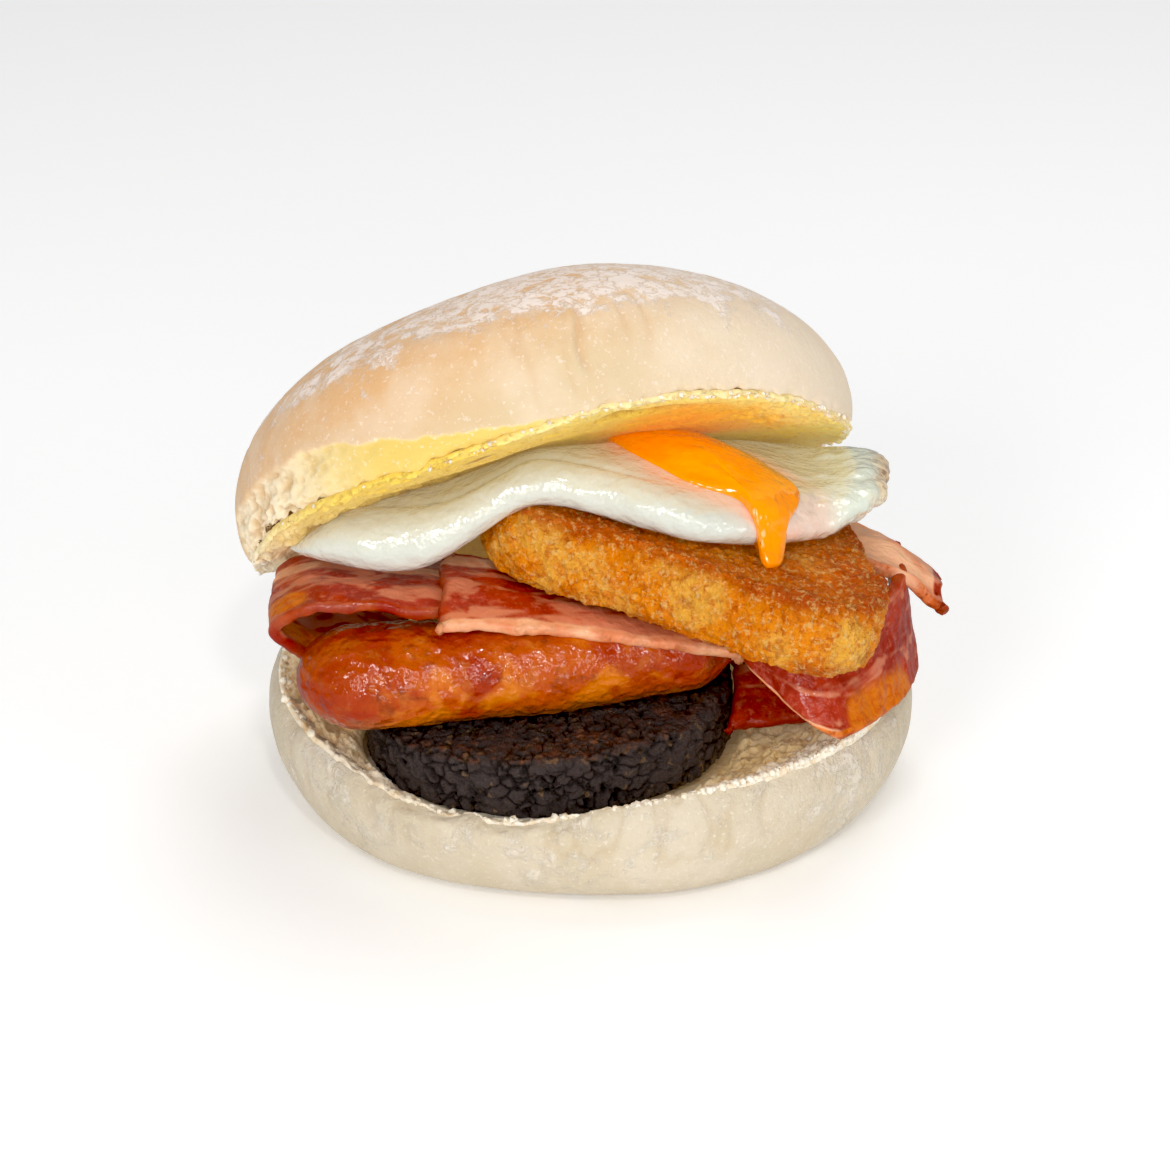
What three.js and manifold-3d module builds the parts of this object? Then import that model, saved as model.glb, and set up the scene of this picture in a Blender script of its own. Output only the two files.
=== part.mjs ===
// A large white bap, cut and filled with a cooked breakfast: a slice of black pudding, a sausage,
// five rashers of back bacon, a hash brown and a fried egg with a broken yolk. The crown leans back on
// the filling, with its low edge on the crumb behind. Millimetres, +Z up, +Y to the back. The origin is
// the middle of the heel's flat underside. Soft food is pressed in by what is firmer.
import * as THREE from "three";
import { mergeVertices } from "three/addons/utils/BufferGeometryUtils.js";
import Module from "manifold-3d";

const wasm = await Module();
wasm.setup();
const { degToRad, lerp, clamp, smoothstep } = THREE.MathUtils;

// Driving dimensions
const bunRadius = 62;
const clearance = 0.35;

const heel = {
  footRadius: 48.5,
  widestHeight: 15.5,
  rimHeight: 23.3,
  rimTilt: 0.95, // how much higher the cut runs at the right
  frontDip: 5.6, // how much lower it runs at the left of the front
  backRise: 2.5, // how much higher it runs at the back, below the crown
  rimRadius: 59.5,
  crumbHeight: 15.6,
  spread: 0.07, // how far its foot is squashed out at the left and the right of the front
};

const crown = {
  radius: 60.5,
  rimRadius: 58,
  widestHeight: 7,
  height: 33,
  fullness: 2.3, // 2 is an ellipse, more is squarer
  arch: 9, // how far its middle line is bent up by the filling
  droop: 1.65, // more than 1 puts it below the plane of the cut
  rimDrop: 4.2, // how far the rim hangs at the front left
  rimRise: 1.6, // and how far it is lifted at the front right
  belly: 0.8, // how far the cut crumb stands out below the rim
  leftShare: 0.95, // how far it reaches to the left, as a share of its reach to the right
  dent: 2.8, // a flatter place in the dome
  dentAt: -14,
  centre: new THREE.Vector3(-8.6, -4, 57),
  lean: new THREE.Euler(degToRad(-29.1), degToRad(-13), degToRad(-1.2)),
};

const pudding = {
  radius: 34.5,
  thickness: 12.2,
  edge: 1.8,
  centre: new THREE.Vector3(-7.7, -19.8, 22.1),
  lean: new THREE.Euler(0, degToRad(-3), 0),
};

const sausage = {
  radius: 10.6,
  heightShare: 0.91, // height as a share of width
  length: 81,
  bow: 2.2,
  taper: 0.12,
  centre: new THREE.Vector3(-12.8, -33.2, 37.7),
  lean: new THREE.Euler(0, degToRad(-2.7), degToRad(8)),
};

const hashBrown = {
  inradius: 29, // from its middle to each of its three sides
  facing: -112, // direction that its front side faces
  cornerSharpness: 2.3,
  thickness: 15,
  edge: 4,
  centre: new THREE.Vector3(21.8, -15, 51.9),
  lean: new THREE.Euler(degToRad(-3), degToRad(11.3), 0),
};

const egg = {
  centre: new THREE.Vector2(1, -6),
  halfWidth: 55,
  frontReach: 25.5,
  backReach: 27,
  fullness: 3,
  thickness: 8.5,
  lobeThickness: 12, // where it is folded at the left
  edgeShare: 0.22, // how much of its reach is rounded off
  mound: 2.5, // how much the white thickens round the yolk
  curl: 6, // how far its right end turns up
};

const yolk = {
  centre: new THREE.Vector2(22.5, -15),
  halfLength: 19,
  halfWidth: 11.5,
  facing: -36, // direction of the pool's length
  dripFacing: -60,
  dripReach: 26.5,
  dripSide: 16.5, // how far right of the middle the drip's right side runs
  dripHalfWidth: 1.8,
  dripRoot: 5, // how softly the drip leaves the pool
  height: 2.6,
};

const rasherThickness = 2.4;

const colours = {
  bread: 0xe9d9b4,
  crust: 0xe3c08c,
  eggWhite: 0xf2f0e2,
  eggYolk: 0xf7931a,
  potato: 0xdb8a2b,
  sausageSkin: 0xb9602b,
  blackPudding: 0x2b2322,
  bacon: 0xc25a4d,
};

// A bump of height 1 at 0 that dies away over about one width.
const bump = (offset, width) => Math.exp(-((offset / width) ** 2));

// The difference between two directions in degrees, from -180 to 180.
const turn = (from, to) => ((to - from + 540) % 360) - 180;

// The larger or smaller of two heights, with a rounded change from one to the other.
const softMax = (a, b, round) => 0.5 * (a + b + Math.sqrt((a - b) ** 2 + round ** 2));
const softMin = (a, b, round) => -softMax(-a, -b, round);

function signedVolume(geometry) {
  const { index, attributes } = geometry;
  const [a, b, c] = [new THREE.Vector3(), new THREE.Vector3(), new THREE.Vector3()];
  let sum = 0;
  for (let i = 0; i < index.count; i += 3) {
    a.fromBufferAttribute(attributes.position, index.getX(i));
    b.fromBufferAttribute(attributes.position, index.getX(i + 1));
    c.fromBufferAttribute(attributes.position, index.getX(i + 2));
    sum += a.dot(b.cross(c));
  }
  return sum / 6;
}

// A three.js shape as one closed skin, with each of its points moved by move(point).
function moulded(geometry, move) {
  geometry.deleteAttribute("normal");
  geometry.deleteAttribute("uv");
  const skin = mergeVertices(geometry, 1e-4);
  const { position } = skin.attributes;
  const point = new THREE.Vector3();
  for (let i = 0; i < position.count; i++) {
    move(point.fromBufferAttribute(position, i));
    position.setXYZ(i, point.x, point.y, point.z);
  }
  if (signedVolume(skin) < 0) {
    const corners = skin.index.array;
    for (let i = 0; i < corners.length; i += 3) {
      [corners[i + 1], corners[i + 2]] = [corners[i + 2], corners[i + 1]];
    }
  }
  skin.computeVertexNormals();
  return skin;
}

// A profile turned about +Z. Each profile point is [distance from the axis, height].
function turned(profile, segments) {
  const outline = profile.map(([r, z]) => new THREE.Vector2(r, z));
  return new THREE.LatheGeometry(outline, segments).rotateX(Math.PI / 2);
}

// A round slab of radius 1 with a half-round edge, from height 1 at the top to -1 below.
function unitSlab(rings, edgeSteps, edge, segments) {
  const profile = [];
  for (let i = 0; i < rings; i++) profile.push([(i / rings) * (1 - edge), 1]);
  for (let i = 0; i <= edgeSteps; i++) {
    const angle = Math.PI * (0.5 - i / edgeSteps);
    profile.push([1 - edge + edge * Math.cos(angle), Math.sin(angle)]);
  }
  for (let i = rings - 1; i >= 0; i--) profile.push([(i / rings) * (1 - edge), -1]);
  profile[0][0] = 0;
  profile[profile.length - 1][0] = 0;
  return turned(profile, segments);
}

function piece(name, geometry, colour, roughness) {
  const material = new THREE.MeshStandardMaterial({ color: colour, roughness, metalness: 0 });
  const mesh = new THREE.Mesh(geometry, material);
  mesh.name = name;
  return mesh;
}

// The mesh as a manifold-3d solid in the part's frame, with every face moved out by margin.
function solidOf(mesh, margin) {
  mesh.updateMatrixWorld(true);
  const { index, attributes } = mesh.geometry;
  const corners = Array.from({ length: attributes.position.count }, (_, i) =>
    new THREE.Vector3().fromBufferAttribute(attributes.position, i).applyMatrix4(mesh.matrixWorld),
  );
  const facesAt = corners.map(() => []);
  for (let i = 0; i < index.count; i += 3) {
    const ids = [index.getX(i), index.getX(i + 1), index.getX(i + 2)];
    const facing = new THREE.Vector3();
    new THREE.Triangle(...ids.map((id) => corners[id])).getNormal(facing);
    ids.forEach((id) => facesAt[id].push(facing));
  }
  const points = new Float32Array(corners.length * 3);
  corners.forEach((corner, i) => {
    const shift = new THREE.Vector3();
    for (let pass = 0; pass < 12; pass++) {
      for (const facing of facesAt[i]) {
        const short = margin - shift.dot(facing);
        if (short > 0) shift.addScaledVector(facing, short * 0.6);
      }
    }
    shift.clampLength(0, 3 * margin).add(corner).toArray(points, i * 3);
  });
  return new wasm.Manifold(
    new wasm.Mesh({ numProp: 3, vertProperties: points, triVerts: new Uint32Array(index.array) }),
  );
}

// Takes the space of firmer pieces, and a little clearance round them, out of a soft one.
function pressInto(soft, ...firm) {
  let left = solidOf(soft, 0);
  for (const mesh of firm) left = left.subtract(solidOf(mesh, clearance));
  const main = left.decompose().sort((a, b) => b.volume() - a.volume())[0];
  const cut = main.simplify(0.08).getMesh();
  const geometry = new THREE.BufferGeometry();
  geometry.setAttribute("position", new THREE.BufferAttribute(new Float32Array(cut.vertProperties), 3));
  geometry.setIndex(new THREE.BufferAttribute(new Uint32Array(cut.triVerts), 1));
  geometry.applyMatrix4(soft.matrixWorld.clone().invert());
  geometry.computeVertexNormals();
  soft.geometry = geometry;
}

// Height of the heel's cut edge in a direction, in degrees from +X towards +Y.
function heelRim(angle) {
  const tilt = heel.rimTilt * Math.cos(degToRad(angle + 30));
  const dip = heel.frontDip * bump(turn(-113, angle), 28);
  return heel.rimHeight + tilt - dip + heel.backRise * bump(turn(105, angle), 60);
}

// Height of the heel's cut crumb, dished under the filling and steepest behind the front of the rim.
function heelCrumb(x, y) {
  const angle = THREE.MathUtils.radToDeg(Math.atan2(y, x));
  const outward = Math.min(1, Math.hypot(x, y) / heel.rimRadius);
  const steepness = 3 + 16 * bump(turn(-108, angle), 42);
  return lerp(heel.crumbHeight, heelRim(angle), outward ** steepness);
}

function makeHeel() {
  const profile = [[0, 0]];
  for (let i = 0; i <= 5; i++) {
    const a = (i / 5) * (Math.PI / 2);
    const out = (bunRadius - heel.footRadius) * Math.sin(a);
    profile.push([heel.footRadius + out, heel.widestHeight * (1 - Math.cos(a))]);
  }
  // From the widest level up, heights are shares of the way to the rim.
  const wall = [[bunRadius - 0.4, 0.5], [heel.rimRadius + 0.6, 0.88], [heel.rimRadius - 1, 1]];
  for (const [r, share] of wall) profile.push([r, 100 + share]);
  const crumbRings = [57, 54.5, 51, 44, 30, 0];
  for (const r of crumbRings) profile.push([r, 200]);
  return moulded(turned(profile, 44), (p) => {
    const angle = THREE.MathUtils.radToDeg(Math.atan2(p.y, p.x));
    const low = p.z < 100 ? (1 - p.z / heel.widestHeight) ** 4 : 0;
    if (p.z >= 200) p.z = heelCrumb(p.x, p.y);
    else if (p.z >= 100) p.z = lerp(heel.widestHeight, heelRim(angle), p.z - 100);
    const corners = bump(turn(-138, angle), 26) + 0.6 * bump(turn(-45, angle), 26);
    const uneven = 0.006 * Math.sin(degToRad(3 * angle)) + 0.004 * Math.sin(degToRad(5 * angle + 60));
    const swell = 1 + uneven + heel.spread * low * corners;
    p.x *= swell;
    p.y *= swell;
  });
}

const crownFrame = new THREE.Matrix4()
  .makeRotationFromEuler(crown.lean)
  .setPosition(crown.centre);

// How far the crown is bent up by the filling. Its back hangs down to the heel.
const crownArch = (across, along) =>
  crown.arch * (1 - (across / crown.radius) ** 2) * (1 - crown.droop * smoothstep(along, 8, 58));

// How far the front of the rim is moved up or down from that bend.
const rimShift = (across, along) =>
  (crown.rimRise * bump(across - 56, 14) - crown.rimDrop * bump(across + 14, 28)) * smoothstep(-along, 20, 48);

// Height of the crown's cut face over a place in the part's frame.
function crownUnderside(x, y) {
  const e = crownFrame.elements;
  const [dx, dy] = [x - crown.centre.x, y - crown.centre.y];
  const plane = crown.centre.z - (dx * e[8] + dy * e[9]) / e[10];
  const dz = plane - crown.centre.z;
  const across = dx * e[0] + dy * e[1] + dz * e[2];
  const along = dx * e[4] + dy * e[5] + dz * e[6];
  const inward = clamp(Math.hypot(across, along) / crown.rimRadius, 0, 1);
  const bend = crownArch(across, along) + rimShift(across, along);
  return plane + (bend - crown.belly * (1 - inward ** 3)) / e[10];
}

function makeCrown() {
  const profile = [];
  const domeSteps = 9;
  for (let i = 0; i <= domeSteps; i++) {
    const a = (i / domeSteps) * (Math.PI / 2);
    const r = crown.radius * Math.sin(a) ** (2 / crown.fullness);
    const rise = (crown.height - crown.widestHeight) * Math.cos(a) ** (2 / crown.fullness);
    profile.push([r, crown.widestHeight + rise]);
  }
  for (let i = 1; i <= 3; i++) {
    const a = (i / 3) * (Math.PI / 2);
    const r = crown.radius - (crown.radius - crown.rimRadius) * (1 - Math.cos(a));
    profile.push([r, crown.widestHeight * (1 - Math.sin(a))]);
  }
  for (const share of [0.965, 0.86, 0.68, 0.4, 0]) {
    profile.push([crown.rimRadius * share, -crown.belly * (1 - share ** 3)]);
  }
  profile[0][0] = 0;
  return moulded(turned(profile, 46), (p) => {
    const angle = Math.atan2(p.y, p.x);
    const swell = 1 + 0.008 * Math.sin(3 * angle + 1) + 0.005 * Math.sin(5 * angle);
    const dent = crown.dent * bump(p.x - crown.dentAt, 26) * smoothstep(p.z, 8, 26);
    const shift = rimShift(p.x, p.y) * (1 - smoothstep(p.z, 3, 20));
    p.z += crownArch(p.x, p.y) + shift - dent;
    if (p.x < 0) p.x *= crown.leftShare;
    p.x *= swell;
    p.y *= swell;
  });
}

function makePudding() {
  const { radius, thickness, edge } = pudding;
  const share = edge / radius;
  return moulded(unitSlab(2, 4, share, 36), (p) => {
    const angle = Math.atan2(p.y, p.x);
    const swell = radius * (1 + 0.012 * Math.sin(2 * angle + 0.6) + 0.008 * Math.sin(7 * angle));
    p.x *= swell;
    p.y *= swell;
    p.z *= thickness / 2;
  });
}

function makeSausage() {
  const straight = sausage.length - 2 * sausage.radius;
  const geometry = new THREE.CapsuleGeometry(sausage.radius, straight, 5, 16, 7);
  return moulded(geometry.rotateZ(-Math.PI / 2), (p) => {
    const along = p.x / (sausage.length / 2);
    const girth = 1 - sausage.taper * along * along - 0.035 * along + 0.02 * Math.sin(7 * along);
    p.y = p.y * girth + sausage.bow * along * along;
    p.z *= girth * sausage.heightShare;
  });
}

// Distance from the hash brown's middle to its side in a direction, in degrees.
function hashBrownOutline(angle) {
  const n = hashBrown.cornerSharpness;
  let sum = 0;
  for (const side of [0, 120, 240]) {
    const share = Math.max(0, Math.cos(degToRad(angle - hashBrown.facing - side)));
    sum += (share / hashBrown.inradius) ** n;
  }
  return sum ** (-1 / n);
}

function makeHashBrown() {
  const meanReach = 34;
  return moulded(unitSlab(2, 5, hashBrown.edge / meanReach, 42), (p) => {
    const angle = THREE.MathUtils.radToDeg(Math.atan2(p.y, p.x));
    const reach = hashBrownOutline(angle);
    const lumps = 1 + 0.01 * Math.sin(degToRad(9 * angle));
    p.x *= reach * lumps;
    p.y *= reach * lumps;
    p.z *= hashBrown.thickness / 2;
    p.z += 0.5 * Math.sin(p.x / 9) * Math.cos(p.y / 8);
  });
}

const hashBrownFrame = new THREE.Matrix4()
  .makeRotationFromEuler(hashBrown.lean)
  .setPosition(hashBrown.centre);

// Height of a level in the hash brown, from -1 at its underside to 1 at its top, past its sides too.
function hashBrownLevel(x, y, level) {
  const e = hashBrownFrame.elements;
  const [dx, dy] = [x - hashBrown.centre.x, y - hashBrown.centre.y];
  const rise = (level * hashBrown.thickness) / 2;
  return hashBrown.centre.z + (rise - dx * e[8] - dy * e[9]) / e[10];
}

function eggOutline(angle) {
  const [c, s] = [Math.cos(degToRad(angle)), Math.sin(degToRad(angle))];
  const depth = s < 0 ? egg.frontReach : egg.backReach;
  const sum = (Math.abs(c) / egg.halfWidth) ** egg.fullness + (Math.abs(s) / depth) ** egg.fullness;
  const lip = 0.27 * bump(turn(-60, angle), 22) - 0.06 * bump(turn(-24, angle), 12);
  const lobe = 0.18 * bump(turn(-149, angle), 21);
  return sum ** (-1 / egg.fullness) * (1 + lip + lobe + 0.015 * Math.sin(degToRad(7 * angle)));
}

// Height of the white's underside: it lies on the hash brown and sags at the left to the bacon.
function eggBottom(x, y) {
  const onHash = hashBrownLevel(x, y, 1) + clearance;
  const onBacon = softMax(53, 53 + 0.75 * (x + 30), 4);
  return softMin(onHash, onBacon, 3) + egg.curl * smoothstep(x, 40, 57);
}

function eggThickness(x, y) {
  const lobe = (egg.lobeThickness - egg.thickness) * smoothstep(-x, 12, 36) * smoothstep(x, -57, -47);
  const mound = egg.mound * bump(x - 14, 26) * bump(y + 12, 20);
  return egg.thickness + lobe + mound;
}

// Height of the white's top, which the crown holds down.
const eggTop = (x, y) =>
  softMin(eggBottom(x, y) + eggThickness(x, y), crownUnderside(x, y) - clearance, 1.5);

function makeEggWhite() {
  return moulded(unitSlab(6, 4, egg.edgeShare, 44), (p) => {
    const angle = THREE.MathUtils.radToDeg(Math.atan2(p.y, p.x));
    const reach = eggOutline(angle);
    p.x = egg.centre.x + p.x * reach;
    p.y = egg.centre.y + p.y * reach;
    const top = eggTop(p.x, p.y);
    const bottom = Math.min(eggBottom(p.x, p.y), top - 2.5);
    p.z = lerp(bottom, top, (p.z + 1) / 2);
  });
}

// How far out a place is on the white, from 0 in the middle to 1 at its edge.
function eggShare(x, y) {
  const [dx, dy] = [x - egg.centre.x, y - egg.centre.y];
  return Math.hypot(dx, dy) / eggOutline(THREE.MathUtils.radToDeg(Math.atan2(dy, dx)));
}

// Distance from the middle of the yolk to its edge: an oval pool with a drip that runs to the front.
function yolkOutline(angle) {
  const off = degToRad(angle - yolk.facing);
  const pool = 1 / Math.hypot(Math.cos(off) / yolk.halfLength, Math.sin(off) / yolk.halfWidth);
  const aside = Math.max(0.05, -Math.sin(degToRad(turn(yolk.dripFacing, angle))));
  const right = yolk.dripSide / Math.max(0.05, Math.cos(degToRad(angle)));
  const drip = softMin(softMin(yolk.dripReach, right, 3), yolk.dripHalfWidth / aside, 3);
  const near = smoothstep(90 - Math.abs(turn(yolk.dripFacing, angle)), 20, 50);
  return lerp(pool, softMax(pool, drip, yolk.dripRoot), near);
}

function makeYolk() {
  return moulded(unitSlab(3, 3, 0.25, 40), (p) => {
    const even = THREE.MathUtils.radToDeg(Math.atan2(p.y, p.x));
    // The outline's points are drawn together towards the drip.
    const angle = even - 38 * Math.sin(degToRad(even - yolk.dripFacing));
    const fromMiddle = Math.min(1, Math.hypot(p.x, p.y));
    const reach = fromMiddle * yolkOutline(angle);
    p.x = yolk.centre.x + reach * Math.cos(degToRad(angle));
    p.y = yolk.centre.y + reach * Math.sin(degToRad(angle));
    const over = smoothstep(eggShare(p.x, p.y), 0.88, 1.04);
    const surface = lerp(eggTop(p.x, p.y), eggBottom(p.x, p.y) + 1.5, over);
    const dome = yolk.height * Math.sqrt(Math.max(0, 1 - fromMiddle ** 2)) + 0.9;
    p.z = surface + (p.z > 0 ? dome * p.z : 1.5 * p.z);
  });
}

// A thin slice laid on surface(u, v), with u along it and v across it from 0 to 1.
function makeRasher(surface, lengthSteps, widthSteps) {
  const box = new THREE.BoxGeometry(1, 1, 1, lengthSteps, widthSteps, 1);
  const step = 0.01;
  return moulded(box, (p) => {
    const [u, v] = [p.x + 0.5, p.y + 0.5];
    const alongU = surface(Math.min(u + step, 1), v).sub(surface(Math.max(u - step, 0), v));
    const alongV = surface(u, Math.min(v + step, 1)).sub(surface(u, Math.max(v - step, 0)));
    const normal = alongU.cross(alongV).normalize();
    const rim = Math.min(u, 1 - u, v, 1 - v);
    const half = (rasherThickness / 2) * (rim < 1e-6 ? 0.55 : 1);
    const side = Math.sign(p.z);
    p.copy(surface(u, v)).addScaledVector(normal, side * half);
  });
}

// A smooth line through a few points.
const line = (...points) =>
  new THREE.CatmullRomCurve3(points.map((p) => new THREE.Vector3(...p)), false, "centripetal");

// The left rasher: it comes out over the sausage, folds down past its end and goes back in below.
const leftPath = line(
  [-4, 0, 47.4],
  [-16, 0, 48.6],
  [-30, 0, 50.6],
  [-50, 0, 51.2],
  [-57.4, 0, 46.8],
  [-52.5, 0, 42],
  [-43, 0, 40],
  [-33, 0, 39],
);

function leftRasher(u, v) {
  const p = leftPath.getPoint(u);
  const under = smoothstep(u, 0.55, 0.85);
  const front = lerp(-38.5, -31, under);
  p.y = front + v * lerp(28, 23, under);
  p.z += lerp(-1.6, 0, Math.min(1, v * 4)) * (1 - under) - 2.5 * v * v;
  p.z += lerp(-4.5, 4, v) * under;
  return p;
}

// The middle rasher: its cut end and front edge lie over the sausage, and the hash brown is on it.
const middlePath = line([-28, 0, 53], [-14, 0, 52.6], [4, 0, 50], [28, 0, 45.5]);

function middleRasher(u, v) {
  const p = middlePath.getPoint(u);
  p.y = lerp(-42.5, -38, u) + v * 26;
  const free = p.z - 5.5 * (1 - v) ** 3;
  p.z = softMin(free, hashBrownLevel(p.x, p.y, -1) - rasherThickness / 2 - clearance, 1.5);
  return p;
}

// The right rasher: it hangs like a curtain from under the hash brown to the heel's rim.
const curtainPath = line(
  [27, -34, 0],
  [43, -45.5, 0],
  [52, -37, 0],
  [58.5, -24, 0],
  [61, -10, 0],
  [59, 3, 0],
);

function rightRasher(u, v) {
  const p = curtainPath.getPoint(u);
  const low = u < 0.3 ? lerp(39, 27, u / 0.3) : lerp(27, 25.5, (u - 0.3) / 0.7);
  const high = lerp(45.5, 47, u);
  const inward = 1 - lerp(0.25, 0.02, u) * v;
  p.set(p.x * inward, p.y * inward, lerp(low, high, v));
  return p;
}

// The flap: the fat end of a rasher that stands out to the right from behind the hash brown.
const flapPath = line([34, 0, 48], [48, 0, 48.5], [59, 0, 45], [67, 0, 38.5]);

function flapRasher(u, v) {
  const p = flapPath.getPoint(u);
  const width = lerp(24, 15, u);
  p.y = -2 - 4 * u + (v - 0.45) * width;
  p.z += 0.8 * Math.sin(v * 9 + u * 4) * u;
  return p;
}

// The lowest rasher lies on the heel's crumb beside the black pudding and climbs to the back.
function lowRasher(u, v) {
  const x = lerp(27.4, 50, u);
  const y = lerp(-32, -6, v) + 5 * u;
  return new THREE.Vector3(x, y, 22 + 12 * v ** 0.7 * (1 - 0.6 * u) + 1.5 * u);
}

const blackPudding = piece("black_pudding", makePudding(), colours.blackPudding, 0.7);
blackPudding.position.copy(pudding.centre);
blackPudding.rotation.copy(pudding.lean);

const porkSausage = piece("sausage", makeSausage(), colours.sausageSkin, 0.3);
porkSausage.position.copy(sausage.centre);
porkSausage.rotation.copy(sausage.lean);

const potato = piece("hash_brown", makeHashBrown(), colours.potato, 0.6);
potato.position.copy(hashBrown.centre);
potato.rotation.copy(hashBrown.lean);

const bottomBun = piece("heel", makeHeel(), colours.bread, 0.9);

const topBun = piece("crown", makeCrown(), colours.crust, 0.85);
topBun.position.copy(crown.centre);
topBun.rotation.copy(crown.lean);

const eggWhite = piece("egg_white", makeEggWhite(), colours.eggWhite, 0.3);
const eggYolk = piece("yolk", makeYolk(), colours.eggYolk, 0.15);

const rashers = [
  piece("bacon_low", makeRasher(lowRasher, 4, 6), colours.bacon, 0.4),
  piece("bacon_flap", makeRasher(flapRasher, 9, 5), colours.bacon, 0.4),
  piece("bacon_right", makeRasher(rightRasher, 14, 4), colours.bacon, 0.4),
  piece("bacon_middle", makeRasher(middleRasher, 9, 6), colours.bacon, 0.4),
  piece("bacon_left", makeRasher(leftRasher, 18, 4), colours.bacon, 0.4),
];

const sandwich = new THREE.Group();
sandwich.add(bottomBun, blackPudding, porkSausage, ...rashers, potato, eggWhite, eggYolk, topBun);

const firm = [blackPudding, potato];
rashers.forEach((rasher, i) => pressInto(rasher, ...firm, ...rashers.slice(0, i)));
pressInto(porkSausage, ...firm, ...rashers);
pressInto(eggWhite, ...firm, ...rashers);
pressInto(eggYolk, ...firm, eggWhite);
pressInto(bottomBun, ...firm, porkSausage, ...rashers);
pressInto(topBun, ...firm, ...rashers, eggWhite, eggYolk, bottomBun);

export default sandwich;
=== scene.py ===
# A floured bap, cut and filled with a cooked breakfast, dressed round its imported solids.
# Sizes below are millimetres and degrees; meshes are made in metres.
import itertools
import math

import bpy
import numpy as np
from mathutils import Matrix, Vector


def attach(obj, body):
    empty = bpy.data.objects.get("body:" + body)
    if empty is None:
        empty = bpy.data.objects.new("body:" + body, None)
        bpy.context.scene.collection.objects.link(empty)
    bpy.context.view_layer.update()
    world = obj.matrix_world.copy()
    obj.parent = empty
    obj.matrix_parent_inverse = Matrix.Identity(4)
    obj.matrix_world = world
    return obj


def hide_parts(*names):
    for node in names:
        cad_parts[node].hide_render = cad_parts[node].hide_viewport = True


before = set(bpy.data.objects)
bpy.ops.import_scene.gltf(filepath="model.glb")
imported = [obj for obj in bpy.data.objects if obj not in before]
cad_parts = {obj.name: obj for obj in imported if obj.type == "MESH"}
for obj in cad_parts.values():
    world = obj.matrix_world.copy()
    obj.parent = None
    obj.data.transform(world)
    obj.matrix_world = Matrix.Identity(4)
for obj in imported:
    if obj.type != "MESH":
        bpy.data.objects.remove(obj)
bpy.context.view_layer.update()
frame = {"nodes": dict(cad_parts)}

print("frame loaded:", ", ".join(frame["nodes"]))


# Small maths, on whole arrays of points.

def bump(offset, width):
    return np.exp(-((offset / width) ** 2))


def ease(value, low, high):
    share = np.clip((value - low) / (high - low), 0, 1)
    return share * share * (3 - 2 * share)


def between(a, b, share):
    return a + (b - a) * share


def softMax(a, b, width):
    return 0.5 * (a + b + np.sqrt((a - b) ** 2 + width**2))


def softMin(a, b, width):
    return -softMax(-a, -b, width)


def turnTo(fromAngle, toAngle):
    return (toAngle - fromAngle + 540) % 360 - 180


def cellRandom(cells, seed):
    # a repeatable number from 0 to 1 for each whole-numbered cell
    mixed = cells[..., 0] * 73856093 ^ cells[..., 1] * 19349663 ^ cells[..., 2] * 83492791 ^ seed * 265443576
    mixed = ((mixed ^ (mixed >> 13)) & 0xFFFFFFFF) * 1274126177 & 0xFFFFFFFF
    mixed = ((mixed ^ (mixed >> 16)) * 73244475) & 0xFFFFFFFF
    return ((mixed ^ (mixed >> 15)) & 0xFFFFFF) / 0xFFFFFF


noiseTurn = np.array(Matrix.Rotation(0.9, 3, (0.4, 0.7, 0.3)))


def lumps(points, size, octaves=1, seed=0, fade=0.5):
    # noise from -1 to 1 whose largest lumps are about the given size
    total, strength, reach = 0, 1, 0
    points = points / size + seed * 7.31
    for octave in range(octaves):
        low = np.floor(points).astype(np.int64)
        part = points - low
        part = part * part * (3 - 2 * part)
        value = 0
        for corner in itertools.product((0, 1), repeat=3):
            weight = np.prod(np.where(corner, part, 1 - part), axis=-1)
            value = value + weight * cellRandom(low + corner, seed + octave)
        total = total + strength * (2 * value - 1)
        reach += strength
        strength *= fade
        points = points @ noiseTurn * 2.03
    return total / reach


def shaken(points, amount, size, octaves, seed, fade=0.5):
    # the points, each pushed its own way by up to amount
    return points + amount * np.stack(
        [lumps(points, size, octaves, seed + k, fade) for k in range(3)], axis=-1,
    )


def grains(points, size, seed=0):
    # for packed grains: distance to the nearest middle, to the next one, and the grain's own number
    points = points / size
    low = np.floor(points).astype(np.int64)
    first = np.full(points.shape[:-1], 9.0)
    second = first.copy()
    number = np.zeros_like(first)
    for step in itertools.product((-1, 0, 1), repeat=3):
        cell = low + step
        middle = cell + np.stack([cellRandom(cell, seed + k) for k in range(3)], axis=-1)
        away = np.linalg.norm(points - middle, axis=-1)
        second = np.minimum(second, np.maximum(first, away))
        number = np.where(away < first, cellRandom(cell, seed + 9), number)
        first = np.minimum(first, away)
    return first, second, number


def turned(x, y, z):
    # the turn of a part placed with angles about X, then its own Y, then its own Z
    turns = [Matrix.Rotation(math.radians(a), 3, axis) for a, axis in ((x, "X"), (y, "Y"), (z, "Z"))]
    return np.array(turns[0] @ turns[1] @ turns[2])


def polar(angles, radii):
    radians = np.radians(angles)
    return radii * np.cos(radians), radii * np.sin(radians)


def angleOf(x, y):
    return np.degrees(np.arctan2(y, x))


def anglesRound(grid):
    # the directions of a grid's columns all round, drawn together towards its front
    even = np.arange(grid["columns"]) / grid["columns"] * 360
    return grid["front"] + even - math.degrees(grid["crowding"]) * np.sin(np.radians(even))


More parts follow.
